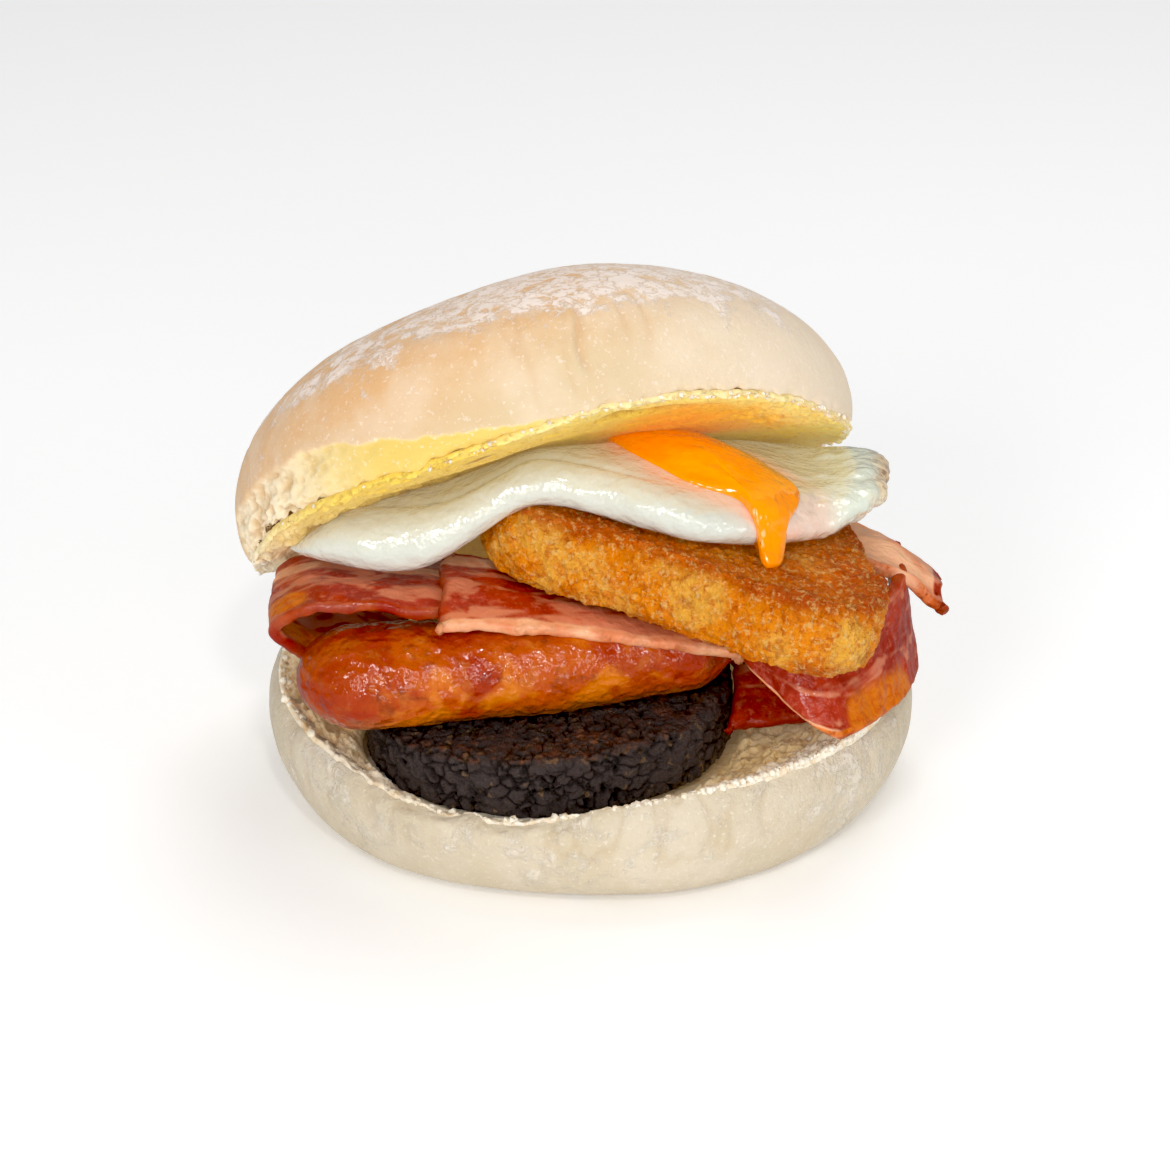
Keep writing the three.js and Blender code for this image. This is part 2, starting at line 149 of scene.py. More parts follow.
def smoothPath(corners, shares):
    # a rounded line through a few corners, evenly paced
    corners = np.array(corners, float)
    ends = np.vstack([2 * corners[0] - corners[1], corners, 2 * corners[-1] - corners[-2]])
    gaps = np.sqrt(np.linalg.norm(np.diff(ends, axis=0), axis=1))
    knots = np.concatenate([[0], np.cumsum(gaps)])
    dense = []
    for i in range(1, len(ends) - 2):
        t = np.linspace(knots[i], knots[i + 1], 40, endpoint=False)[:, None]
        k0, k1, k2, k3 = knots[i - 1 : i + 3]
        p0, p1, p2, p3 = ends[i - 1 : i + 3]
        a1 = (k1 - t) / (k1 - k0) * p0 + (t - k0) / (k1 - k0) * p1
        a2 = (k2 - t) / (k2 - k1) * p1 + (t - k1) / (k2 - k1) * p2
        a3 = (k3 - t) / (k3 - k2) * p2 + (t - k2) / (k3 - k2) * p3
        b1 = (k2 - t) / (k2 - k0) * a1 + (t - k0) / (k2 - k0) * a2
        b2 = (k3 - t) / (k3 - k1) * a2 + (t - k1) / (k3 - k1) * a3
        dense.append((k2 - t) / (k2 - k1) * b1 + (t - k1) / (k2 - k1) * b2)
    dense = np.vstack([*dense, corners[-1:]])
    run = np.concatenate([[0], np.cumsum(np.linalg.norm(np.diff(dense, axis=0), axis=1))])
    return np.stack([np.interp(shares * run[-1], run, dense[:, k]) for k in range(3)], axis=-1)


# Meshes.

def ringFaces(rows, columns):
    # four-sided faces of a grid of rings, each ring closed on itself, with one point at each end
    row = np.arange(rows - 3)[:, None] * columns + 1
    column = np.arange(columns)[None, :]
    beside = (column + 1) % columns
    quads = np.stack([row + column, row + beside, row + columns + beside, row + columns + column], axis=-1)
    last = 1 + (rows - 2) * columns
    ring = np.arange(columns)
    startFan = np.stack([np.zeros(columns, int), (ring + 1) % columns + 1, ring + 1], axis=-1)
    endFan = np.stack(
        [np.full(columns, last), last - columns + ring, last - columns + (ring + 1) % columns], axis=-1,
    )
    return quads.reshape(-1, 4).tolist() + startFan.tolist() + endFan.tolist()


def flatRings(grid):
    # the points of a grid of rings in the order that ringFaces counts them
    return np.vstack([grid[0, :1], grid[1:-1].reshape(-1, grid.shape[-1]), grid[-1, :1]])


def eachPoint(rowValues, columns):
    # spreads a number for each ring over its points, in the same order
    return flatRings(np.repeat(rowValues[:, None, None], columns, axis=1))[:, 0]


def sheetFaces(rows, columns):
    # the faces of a closed sheet, whose top and underside share the points of their border
    top = np.arange(rows * columns).reshape(rows, columns)
    under = top.copy()
    inner = np.arange((rows - 2) * (columns - 2)).reshape(rows - 2, columns - 2)
    under[1:-1, 1:-1] = inner + rows * columns
    faces = []
    for side, flip in ((top, False), (under, True)):
        quads = np.stack(
            [side[:-1, :-1], side[1:, :-1], side[1:, 1:], side[:-1, 1:]], axis=-1,
        ).reshape(-1, 4)
        faces += (quads[:, ::-1] if flip else quads).tolist()
    return faces


def makeMesh(name, points, faces):
    mesh = bpy.data.meshes.new(name)
    mesh.from_pydata((points / 1000).tolist(), [], faces)
    mesh.validate()
    corners = np.empty(len(mesh.vertices) * 3)
    mesh.vertices.foreach_get("co", corners)
    corners = corners.reshape(-1, 3)
    mesh.calc_loop_triangles()
    triangles = np.empty(len(mesh.loop_triangles) * 3, int)
    mesh.loop_triangles.foreach_get("vertices", triangles)
    a, b, c = corners[triangles.reshape(-1, 3)].transpose(1, 0, 2)
    if np.einsum("ij,ij->", a, np.cross(b, c)) < 0:
        mesh.flip_normals()
    mesh.shade_smooth()
    return mesh


def outwards(mesh):
    normals = np.empty(len(mesh.vertices) * 3)
    mesh.vertex_normals.foreach_get("vector", normals)
    return normals.reshape(-1, 3)


def placesOf(mesh):
    points = np.empty(len(mesh.vertices) * 3)
    mesh.vertices.foreach_get("co", points)
    return points.reshape(-1, 3) * 1000


def ringMesh(name, local, part=None):
    # a closed skin from a grid of rings, set in the part's place if it has one; and its points as they were
    points = flatRings(local)
    placed = points @ part["turn"].T + part["centre"] if part else points
    return makeMesh(name, placed, ringFaces(*local.shape[:2])), points


def moveSkin(mesh, distances, direction=None):
    # moves each point outwards, or in one direction, by its own distance
    points = placesOf(mesh) + (outwards(mesh) if direction is None else direction) * distances[:, None]
    mesh.vertices.foreach_set("co", (points / 1000).ravel())
    mesh.update()


def store(mesh, **values):
    # keeps numbers for each point, which materials read by name
    for name, value in values.items():
        layer = mesh.attributes.new(name, "FLOAT", "POINT")
        layer.data.foreach_set("value", np.asarray(value, np.float32).ravel())


def showPiece(mesh, material, slotName, *nodes):
    piece = bpy.data.objects.new(mesh.name, mesh)
    bpy.context.scene.collection.objects.link(piece)
    mesh.materials.append(material)
    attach(piece, "root")
    if nodes:
        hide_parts(*nodes)
    print("made", piece.name, len(mesh.polygons), "faces")
    return piece


# Materials.

def srgb(hexText, alpha=1.0):
    parts = [int(hexText[i : i + 2], 16) / 255 for i in (1, 3, 5)]
    return (*(c / 12.92 if c <= 0.04045 else ((c + 0.055) / 1.055) ** 2.4 for c in parts), alpha)


def addNode(tree, kind, settings=None, inputs=None):
    # adds a node with its settings; an input, by name or place, takes a value, a socket or a node
    new = tree.nodes.new(kind)
    for name, value in (settings or {}).items():
        setattr(new, name, value)
    for name, value in (inputs or {}).items():
        socket = new.inputs[name] if isinstance(name, int) else next(
            s for s in new.inputs if s.name == name and s.enabled
        )
        if isinstance(value, bpy.types.Node):
            value = next(s for s in value.outputs if s.enabled)
        if isinstance(value, bpy.types.NodeSocket):
            tree.links.new(value, socket)
        else:
            socket.default_value = value
    return new


def overlap(tree, *masks):
    # the share of the surface where all the masks hold; a name stands for the numbers kept under it
    masks = [stored(tree, mask) if isinstance(mask, str) else mask for mask in masks]
    shared = masks[0]
    for mask in masks[1:]:
        shared = addNode(tree, "ShaderNodeMath", {"operation": "MULTIPLY"}, {0: shared, 1: mask})
    return shared


def warped(tree, place, size, shift):
    # the place, pushed about by as many millimetres, so that a pattern on it loses its regular look
    push = addNode(
        tree, "ShaderNodeTexNoise", inputs={"Vector": place, "Scale": 1000 / size, "Detail": 2.0},
    )
    centred = addNode(
        tree, "ShaderNodeVectorMath", {"operation": "SUBTRACT"},
        {0: push.outputs["Color"], 1: (0.5, 0.5, 0.5)},
    )
    far = addNode(
        tree, "ShaderNodeVectorMath", {"operation": "SCALE"},
        {"Vector": centred, "Scale": 2 * shift / 1000},
    )
    return addNode(tree, "ShaderNodeVectorMath", {"operation": "ADD"}, {0: place, 1: far}).outputs["Vector"]


def startMaterial(name, fixed, soft=None):
    # soft is the share of light that goes into the food, how many millimetres, and for each colour
    if soft:
        share, reach, colours = soft
        fixed = {
            **fixed, "Subsurface Weight": share, "Subsurface Scale": reach / 1000,
            "Subsurface Radius": colours,
        }
    material = bpy.data.materials.new(name)
    material.use_nodes = True
    tree = material.node_tree
    tree.nodes.clear()
    shader = addNode(tree, "ShaderNodeBsdfPrincipled", inputs=fixed)
    addNode(tree, "ShaderNodeOutputMaterial", inputs={"Surface": shader})
    place = addNode(tree, "ShaderNodeTexCoord").outputs["Object"]
    return material, tree, shader, place


def stored(tree, name):
    return addNode(tree, "ShaderNodeAttribute", {"attribute_name": name}).outputs["Fac"]


def patches(tree, place, size, low, high, detail=3, rough=0.55, drift=0.0):
    # a mask of cloudy patches about size millimetres apart, from 0 below low to 1 above high
    cloud = addNode(tree, "ShaderNodeTexNoise", inputs={
        "Vector": place, "Scale": 1000 / size, "Detail": detail, "Roughness": rough, "Distortion": drift,
    })
    return addNode(tree, "ShaderNodeMapRange", {"interpolation_type": "SMOOTHSTEP"}, {
        "Value": cloud, "From Min": low, "From Max": high,
    })


def paint(tree, ground, coats):
    # lays coats of colour over a ground colour, each where all its masks hold
    colour = srgb(ground)
    for coat, *masks in coats:
        colour = addNode(tree, "ShaderNodeMix", {"data_type": "RGBA"}, {
            "Factor": overlap(tree, *masks), "A": colour, "B": srgb(coat),
        })
    return next(s for s in colour.outputs if s.enabled)


def relief(tree, heights):
    # raises the surface by layers of (height source, millimetres)
    normal = None
    for source, distance in heights:
        inputs = {"Height": source, "Distance": abs(distance) / 1000, "Strength": 1.0}
        if normal:
            inputs["Normal"] = normal
        normal = addNode(tree, "ShaderNodeBump", {"invert": distance < 0}, inputs)
    return normal.outputs["Normal"]


def connect(tree, shader, **sources):
    for name, source in sources.items():
        if isinstance(source, bpy.types.Node):
            source = next(s for s in source.outputs if s.enabled)
        tree.links.new(source, shader.inputs[name.replace("_", " ")])


# Where the bread and the stacked filling lie.

bunRadius = 62.0
gap = 0.35

def faceLevel(part, x, y, level):
    # over a place: the height of a turned part's flat face, which is its level half thicknesses up
    turn, centre = part["turn"], part["centre"]
    rise = level * part["thickness"] / 2
    return centre[2] + (rise - (x - centre[0]) * turn[0, 2] - (y - centre[1]) * turn[1, 2]) / turn[2, 2]


crown = {
    "radius": 60.5,
    "rimRadius": 58.0,
    "widestHeight": 7.0,
    "height": 33.0,
    "fullness": 2.3,
    "arch": 9.0,
    "droop": 1.65,
    "belly": 0.8,
    "rimDrop": 4.2,
    "rimRise": 1.6,
    "leftShare": 0.95,
    "dent": 2.8,
    "dentAt": -14.0,
    "centre": np.array([-8.6, -4.0, 57.0]),
    "turn": turned(-29.1, -13.0, -1.2),
}


def crownArch(across, along):
    bend = crown["arch"] * (1 - (across / crown["radius"]) ** 2)
    return bend * (1 - crown["droop"] * ease(along, 8, 58))


def rimShift(across, along):
    # how far the front of the rim is moved up or down from that bend
    return (
        crown["rimRise"] * bump(across - 56, 14) - crown["rimDrop"] * bump(across + 14, 28)
    ) * ease(-along, 20, 48)


def crownPlane(x, y):
    # over a place: the height of the plane of the cut, and the place across and along it
    turn, centre = crown["turn"], crown["centre"]
    dx, dy = x - centre[0], y - centre[1]
    dz = -(dx * turn[0, 2] + dy * turn[1, 2]) / turn[2, 2]
    across = dx * turn[0, 0] + dy * turn[1, 0] + dz * turn[2, 0]
    along = dx * turn[0, 1] + dy * turn[1, 1] + dz * turn[2, 1]
    return centre[2] + dz, across, along


def crownUnderside(x, y):
    plane, across, along = crownPlane(x, y)
    inward = np.clip(np.hypot(across, along) / crown["rimRadius"], 0, 1)
    bend = crownArch(across, along) + rimShift(across, along)
    return plane + (bend - crown["belly"] * (1 - inward**3)) / crown["turn"][2, 2]


hashBrown = {
    "inradius": 29.0,
    "facing": -112.0,
    "sharpness": 2.3,
    "thickness": 15.0,
    "edge": 4.0,
    "centre": np.array([21.8, -15.0, 51.9]),
    "turn": turned(-3.0, 11.3, 0.0),
}


def hashOutline(angle):
    total = 0
    for side in (0, 120, 240):
        share = np.maximum(0, np.cos(np.radians(angle - hashBrown["facing"] - side)))
        total = total + (share / hashBrown["inradius"]) ** hashBrown["sharpness"]
    return total ** (-1 / hashBrown["sharpness"])


egg = {
    "centre": (1.0, -6.0),
    "halfWidth": 55.0,
    "frontReach": 25.5,
    "backReach": 27.0,
    "fullness": 3.0,
    "thickness": 8.5,
    "lobeThickness": 12.0,
    "edge": 0.22,
    "mound": 2.5,
    "curl": 6.0,
}


def eggOutline(angle):
    c, s = np.cos(np.radians(angle)), np.sin(np.radians(angle))
    depth = np.where(s < 0, egg["frontReach"], egg["backReach"])
    total = (np.abs(c) / egg["halfWidth"]) ** egg["fullness"] + (np.abs(s) / depth) ** egg["fullness"]
    lip = 0.27 * bump(turnTo(-60, angle), 22) - 0.06 * bump(turnTo(-24, angle), 12)
    lobe = 0.18 * bump(turnTo(-149, angle), 21)
    return total ** (-1 / egg["fullness"]) * (1 + lip + lobe + 0.015 * np.sin(np.radians(7 * angle)))


def eggBottom(x, y):
    onHash = faceLevel(hashBrown, x, y, 1) + gap
    onBacon = softMax(53, 53 + 0.75 * (x + 30), 4)
    return softMin(onHash, onBacon, 3) + egg["curl"] * ease(x, 40, 57)


def eggThickness(x, y):
    lobe = (egg["lobeThickness"] - egg["thickness"]) * ease(-x, 12, 36) * ease(x, -57, -47)
    mound = egg["mound"] * bump(x - 14, 26) * bump(y + 12, 20)
    return egg["thickness"] + lobe + mound


def eggTop(x, y):
    return softMin(eggBottom(x, y) + eggThickness(x, y), crownUnderside(x, y) - gap, 1.5)


def eggShare(x, y):
    dx, dy = x - egg["centre"][0], y - egg["centre"][1]
    return np.hypot(dx, dy) / eggOutline(angleOf(dx, dy))


# The bread.

heel = {
    "footRadius": 48.5,
    "widestHeight": 15.5,
    "rimHeight": 23.3,
    "rimTilt": 0.95,
    "frontDip": 5.6,
    "backRise": 2.5,
    "rimRadius": 59.5,
    "crumbHeight": 15.6,
    "spread": 0.07,
}


def tornEdge(x, y):
    # how far the torn rim of the bread stands above or below a clean cut
    rim = np.stack([x, y, 0 * x], axis=-1)
    return 1.1 * lumps(rim, 7, 3, 26) + 0.7 * lumps(rim, 2.4, 3, 27)


pudding = {
    "radius": 34.5,
    "thickness": 12.2,
    "edge": 1.8,
    "centre": np.array([-7.7, -19.8, 22.1]),
    "turn": turned(0, -3, 0),
}


def heelRim(angle):
    tilt = heel["rimTilt"] * np.cos(np.radians(angle + 30))
    dip = heel["frontDip"] * bump(turnTo(-113, angle), 28)
    return heel["rimHeight"] + tilt - dip + heel["backRise"] * bump(turnTo(105, angle), 60)


def heelCrumb(x, y):
    angle = angleOf(x, y)
    outward = np.minimum(1, np.hypot(x, y) / heel["rimRadius"])
    steepness = 3 + 16 * bump(turnTo(-108, angle), 42)
    return between(heel["crumbHeight"], heelRim(angle), outward**steepness)


def makeCrustMaterial(name, look):
    # Soft white-bread crust, baked pale and dusted with flour: dry and matt, faintly pored and mottled.
    material, tree, shader, place = startMaterial(name, {
        "Roughness": 0.85, "Specular IOR Level": 0.2, "Sheen Weight": 0.1, "Sheen Roughness": 0.6,
    }, soft=(0.12, 2, (1.0, 0.7, 0.45)))
    mottle = patches(tree, place, 11, 0.35, 0.7)
    freckle = patches(tree, place, 0.8, 0.6, 0.7, 2)
    vein = addNode(
        tree, "ShaderNodeTexNoise",
        inputs={"Vector": place, "Scale": 1000 / 5.0, "Detail": 4.0, "Roughness": 0.62},
    )
    fromVein = addNode(tree, "ShaderNodeMath", {"operation": "ABSOLUTE"}, {
        0: addNode(tree, "ShaderNodeMath", {"operation": "SUBTRACT"}, {0: vein, 1: 0.5}),
    })
    whole = addNode(
        tree, "ShaderNodeMapRange",
        inputs={"Value": fromVein, "From Min": 0.002, "From Max": 0.03, "To Min": 0.25},
    )
    amount = addNode(tree, "ShaderNodeMath", {"operation": "MULTIPLY_ADD"}, {
        0: stored(tree, "flour"), 1: 0.4,
        2: addNode(
            tree, "ShaderNodeTexNoise",
            inputs={"Vector": place, "Scale": 1000 / 8, "Detail": 8.0, "Roughness": 0.72},
        ),
    })
    dusted = addNode(
        tree, "ShaderNodeMapRange", {"interpolation_type": "SMOOTHSTEP"},
        {"Value": amount, "From Min": 0.66, "From Max": 0.78},
    )
    grain = patches(tree, place, 0.9, 0.2, 0.45, 3)
    flake = patches(tree, place, 4.5, 0.38, 0.48, 5, 0.6, 0.4)
    covered = addNode(
        tree, "ShaderNodeMath", {"operation": "SUBTRACT", "use_clamp": True},
        {0: 1.0, 1: stored(tree, "bared")},
    )
    flour = overlap(tree, dusted, whole, grain, flake, covered)
    colour = paint(tree, look["side"], [
        (look["top"], "baked"),
        (look["pale"], mottle, 0.4),
        (look["pale"], "pallid", 0.7),
        # painted shade: the crust darker in its creases and wrinkles
        (look["deep"], "creased", 0.5),
        ("#f6e4c2", "bared"),
        # painted shade in the holes of the bared crumb
        ("#c89a5c", "pitted", 0.75),
        ("#e2c25c", "oiled"),
        (look["flour"], freckle, 0.35),
        (look["flour"], flour, look["dust"]),
    ])
    pores = addNode(
        tree, "ShaderNodeTexNoise",
        inputs={"Vector": place, "Scale": 1000 / 0.9, "Detail": 4.0, "Roughness": 0.6},
    )
    waves = addNode(
        tree, "ShaderNodeTexNoise", inputs={"Vector": place, "Scale": 1000 / 5.0, "Detail": 4.0},
    )
    connect(
        tree, shader, Base_Color=colour,
        Normal=relief(tree, [(waves, look["wave"]), (pores, look["pore"]), (flour, 0.15)]),
    )
    return material


def makeCrumbMaterial(name, buttered):
    # Open white crumb: pale, matt and full of small holes; butter makes it yellow and wet.
    # the faint warm glow below is painted light, lifting the crumb where it lies in shade
    material, tree, shader, place = startMaterial(name, {
        "Specular IOR Level": 0.3, "Emission Color": srgb("#e8c89c"), "Emission Strength": 0.09,
    }, soft=(0.35, 4, (1.0, 0.8, 0.5)))
    holes = patches(tree, place, 1.1, 0.54, 0.66, 4)
    cream = patches(tree, place, 5, 0.4, 0.7)
    colour = paint(tree, "#fff6e0", [
        ("#fbe4b4", cream, 0.5),
        # painted shade: the crumb darker in its holes, and darker still in the deepest ones
        ("#e6b86c", holes, 0.35),
        ("#cc9040", "deep", 0.6),
        ("#e0b47c", "torn", 0.5),
        (buttered, "butter"),
        # painted highlight: paler yellow towards the front of the rim, where the light reaches under the
        # crown
        ("#ffe27a", "butter", "thick"),
        # painted shade: the buttered crumb darker in its holes
        ("#d08f14", "butter", holes, 0.4),
        ("#f59a1c", "yolky"),
        # painted shade: dark brown in the small hollows and along a thin line under the front rim
        ("#7a3208", "scorched", 0.95),
    ])
    shine = addNode(
        tree, "ShaderNodeMapRange",
        inputs={"Value": stored(tree, "butter"), "To Min": 0.85, "To Max": 0.33},
    )
    pores = addNode(
        tree, "ShaderNodeTexNoise", inputs={"Vector": place, "Scale": 1000 / 1.1, "Detail": 5.0},
    )
    connect(
        tree, shader, Base_Color=colour, Roughness=shine,
        Normal=relief(tree, [(pores, 0.5), (holes, -0.3)]),
    )
    return material


def breadHoles(points, size, seed):
    # round holes of mixed sizes with thin walls between them: 0 on the walls to 1 in the middle of a hole
    first, _, number = grains(points + 0.25 * size * lumps(points, size, 2, seed + 5)[:, None], size, seed)
    return np.maximum(0, 1 - (first / (0.35 + 0.3 * number)) ** 2)


def crustWrinkles(points, flatness, size, seed):
    # 1 along thin winding lines that run up the side of a crust
    wound = points * [1, 1, flatness] + 1.5 * lumps(points, 9, 2, 7)[:, None]
    return 1 - 2 * np.abs(lumps(wound, size, 2, seed))


def makeCrown():
    top = {
        "columns": 470, "front": -90, "crowding": 0.35, "domeRows": 130, "sideRows": 36,
        "creaseAt": 12.8, "bareHeight": 9.5,
    }
    angles = anglesRound(top)
    dome = np.radians(90 * (np.arange(top["domeRows"]) / top["domeRows"]) ** 0.9)
    side = np.radians(np.linspace(0, 90, top["sideRows"]))
    inner = np.array([0.992, 0.97, 0.9, 0.75, 0.5, 0.25, 0])
    radii = np.concatenate([
        crown["radius"] * np.sin(dome) ** (2 / crown["fullness"]),
        crown["radius"] - (crown["radius"] - crown["rimRadius"]) * (1 - np.cos(side)),
        crown["rimRadius"] * inner,
    ])
    heights = np.concatenate([
        crown["widestHeight"] + (
            crown["height"] - crown["widestHeight"]
        ) * np.cos(dome) ** (2 / crown["fullness"]),
        crown["widestHeight"] * (1 - np.sin(side)) + 0.3 * np.sin(side),
        [0.8, 2, 2.2, 2.2, 2.2, 2.2, 2.2],
    ])
    x, y = polar(angles[None, :], radii[:, None])
    z = np.broadcast_to(heights[:, None], x.shape).copy()
    local = flatRings(np.stack([x, y, z], axis=-1))
    mesh, _ = ringMesh("crown_crust", np.stack(placeCrown(x, y, z), axis=-1), crown)
    x, y, z = local.T
    up = z / crown["height"]
    rim = bump(z, 2.2) * (np.hypot(x, y) > crown["rimRadius"] - 1.5)
    crease = x - top["creaseAt"] - 0.5 * np.sin(z / 2.2)
    crease = (
        bump(crease, 0.8) - 0.9 * bump(crease + 1.4, 1.1)
    ) * ease(-y, 30, 50) * ease(z, 20, 15) * ease(z, 5, 9)
    skin = 0.7 * lumps(local, 32, 2, 3) + 0.15 * lumps(local, 8, 3, 4) + 0.08 * lumps(
        local * [1, 1, 0.4], 2.6, 2, 6,
    )
    wrinkle = ease(crustWrinkles(local, 0.22, 7, 19), 0.72, 1) * ease(
        lumps(local, 16, 2, 2), -0.2, 0.4,
    ) * ease(z, 31, 22)
    facing = angleOf(x, y)
    # at the left front the crust has torn away up to this height, which bares the crumb
    reach = top["bareHeight"] * ease(-turnTo(-60, facing), 12, 78) * ease(
        180 - np.abs(turnTo(0, facing)), -1, 12,
    )
    bared = ease(
        reach - z + 1.3 * lumps(local, 5, 3, 21) + 0.6 * lumps(local, 1.8, 2, 22), -0.2, 0.5,
    ) * ease(reach, 0.4, 1.6)
    caves = breadHoles(local, 3.4, 23)
    nooks = breadHoles(local, 1.6, 24)
    leftEnd = ease(-turnTo(-125, facing), -12, 22)
    ripped = bared * (
        0.25 + 0.35 * leftEnd
        + (0.12 + leftEnd) * (0.9 * caves + 0.5 * nooks - 0.7 * lumps(local, 4, 3, 25))
    )
    moveSkin(
        mesh, skin - 0.7 * crease - 0.18 * wrinkle + 0.5 * rim * lumps(local, 1.6, 3, 5) - 0.2 - ripped,
    )
    moveSkin(mesh, -rim * tornEdge(x, y), crown["turn"][:, 2])
    leftwards = ease(-x, -40, 35)
    baked = ease(up + 0.16 * lumps(local, 24, 3, 8) + 0.3 * leftwards - 0.08, 0.12, 0.8)
    flour = ease(up, 0.4, 0.72) * (0.42 + 0.5 * bump(x - 17, 26)) + 0.2 * ease(up, 0.1, 0.5)
    flour = flour + 0.2 * ease(up, 0.2, 0.6) * lumps(local, 12, 2, 9)
    # the crease and wrinkle mask stored below paints shade into them
    store(
        mesh, baked=baked, flour=flour, creased=np.clip(
            crease + 0.6 * wrinkle, 0, 1,
        ), bared=bared, pallid=ease(x, 10, 50),
        # the bared crumb's holes are painted darker: painted shade
        pitted=bared * np.clip(caves + 0.5 * nooks, 0, 1) * (
            0.3 + 0.7 * leftEnd
        ), oiled=bared * (1 - leftEnd) * 0.9,
    )
    # the darkest colour below is painted shade for the creases
    look = {
        "side": "#d6be98", "top": "#e0b07c", "pale": "#ead9c2", "deep": "#c99a68", "flour": "#f6e8de",
        "dust": 0.85, "wave": 0.25, "pore": 0.14,
    }
    return showPiece(mesh, makeCrustMaterial("floured bap crust, top", look), "crown", "crown")


def placeCrown(x, y, z):
    # bends the crown's own round shape over the filling
    angle = np.arctan2(y, x)
    swell = 1 + 0.008 * np.sin(3 * angle + 1) + 0.005 * np.sin(5 * angle)
    dent = crown["dent"] * bump(x - crown["dentAt"], 26) * ease(z, 8, 26)
    z = z + crownArch(x, y) + rimShift(x, y) * (1 - ease(z, 3, 20)) - dent
    x = np.where(x < 0, x * crown["leftShare"], x) * swell
    return x, y * swell, z


def makeCrownCrumb(material):
    cut = {
        "columns": 640, "front": -110, "crowding": 0.5, "rows": 118, "lipRows": 6,
        "pastRim": 0.9, "lipRadius": 0.8, "thickness": 1.5, "drop": 0.35,
    }
    angles = anglesRound(cut)
    share = 1 - np.linspace(0, 1, cut["rows"]) ** 1.7
    lip = np.radians(np.linspace(90, 0, cut["lipRows"]))
    rim, lipRadius = crown["rimRadius"] + cut["pastRim"], cut["lipRadius"]
    hidden = np.array([0, 0.5, 0.8, 0.95])
    radii = np.concatenate([rim * hidden, rim - lipRadius + lipRadius * np.cos(lip), rim * share[1:]])
    heights = cut["thickness"] * np.concatenate([0 * hidden + 1, np.sin(lip), 0 * share[1:]]) - cut["drop"]
    under = np.concatenate([0 * hidden, np.linspace(0, 1, cut["lipRows"]), np.ones(len(share) - 1)])
    x, y = polar(angles[None, :], radii[:, None])
    inward = np.minimum(1, np.hypot(x, y) / crown["rimRadius"])
    z = heights[:, None] - under[:, None] * crown["belly"] * (1 - inward**3)
    local = flatRings(np.stack([x, y, np.broadcast_to(z, x.shape)], axis=-1))
    shown = eachPoint(under, cut["columns"])
    mesh, _ = ringMesh("crown_crumb", np.stack(placeCrown(x, y, z), axis=-1), crown)
    x, y, z = local.T
    wild = shaken(local, 2.0, 4, 3, 90)
    angle = angleOf(wild[:, 0], wild[:, 1])
    inward = np.hypot(x, y) / crown["rimRadius"]
    deepIn = np.hypot(wild[:, 0], wild[:, 1]) / crown["rimRadius"]
    torn = np.clip(1.4 * bump(turnTo(-172, angle), 36), 0, 1)
    fibrous = bump(turnTo(-22, angle), 16) * ease(inward, 0.7, 0.85)
    holes = breadHoles(local, 4.2, 11)
    small = breadHoles(local, 1.7, 12)
    fringe = ease(inward, 0.972, 0.995)
    leftHalf = ease(-turnTo(-60, angle), 12, 50)
    hollow = bump(turnTo(-68, angle), 4) * bump(deepIn - 0.87, 0.035) + bump(turnTo(-61, angle), 3) * bump(
        deepIn - 0.88, 0.03,
    )
    calm = 0.14 + 0.86 * torn + 0.6 * fibrous
    skin = calm * (1.8 * lumps(local, 6, 4, 13, 0.6) - 1.9 * holes - 0.7 * small) + 1.2 * torn
    fluff = 0.6 * lumps(local, 1.6, 3, 14, 0.6) + 0.4 * lumps(local, 5, 2, 18) - 0.4 * small + 0.1
    skin = between(skin, fluff, 0.7 * fringe) - 3.5 * hollow
    moveSkin(mesh, shown * skin)
    moveSkin(mesh, -shown * ease(inward, 0.97, 1.0) * tornEdge(x, y), crown["turn"][:, 2])
    butter = (1 - 0.95 * bump(turnTo(178, angle), 34)) * (
        1 - 0.6 * (1 - leftHalf) * ease(inward + 0.012 * lumps(local, 3, 3, 15), 0.984, 1.0)
    )
    store(
        mesh,
        butter=butter,
        # paler towards the front of the rim: painted highlight
        thick=ease(inward + 0.06 * lumps(local, 6, 3, 17), 0.8, 0.95) * (
            0.35 + 0.65 * bump(turnTo(-40, angle), 50)
        ) * (1 - 0.5 * leftHalf),
        # painted shade in the crumb's holes, less at the fringe
        deep=np.clip(
            calm * (0.9 * holes + 0.3 * small) + 0.5 * torn * ease(0.93 - inward, 0, 0.2), 0, 1,
        ) * (1 - 0.7 * fringe),
        torn=torn * ease(0.97 - inward, 0, 0.06),
        # painted shade in the small hollows and along a thin line under the front rim
        scorched=np.clip(
            1.5 * hollow + 0.9 * bump(turnTo(-100, angle), 2.5) * bump(inward - 0.9, 0.014), 0, 1,
        ),
        yolky=0.85 * bump(turnTo(-50, angle), 14) * ease(
            lumps(local, 9, 3, 16), -0.7, 0.3,
        ) * ease(0.97 - inward, 0, 0.08) * ease(inward, 0.35, 0.5),
    )
    return showPiece(mesh, material, "crown", "crown")


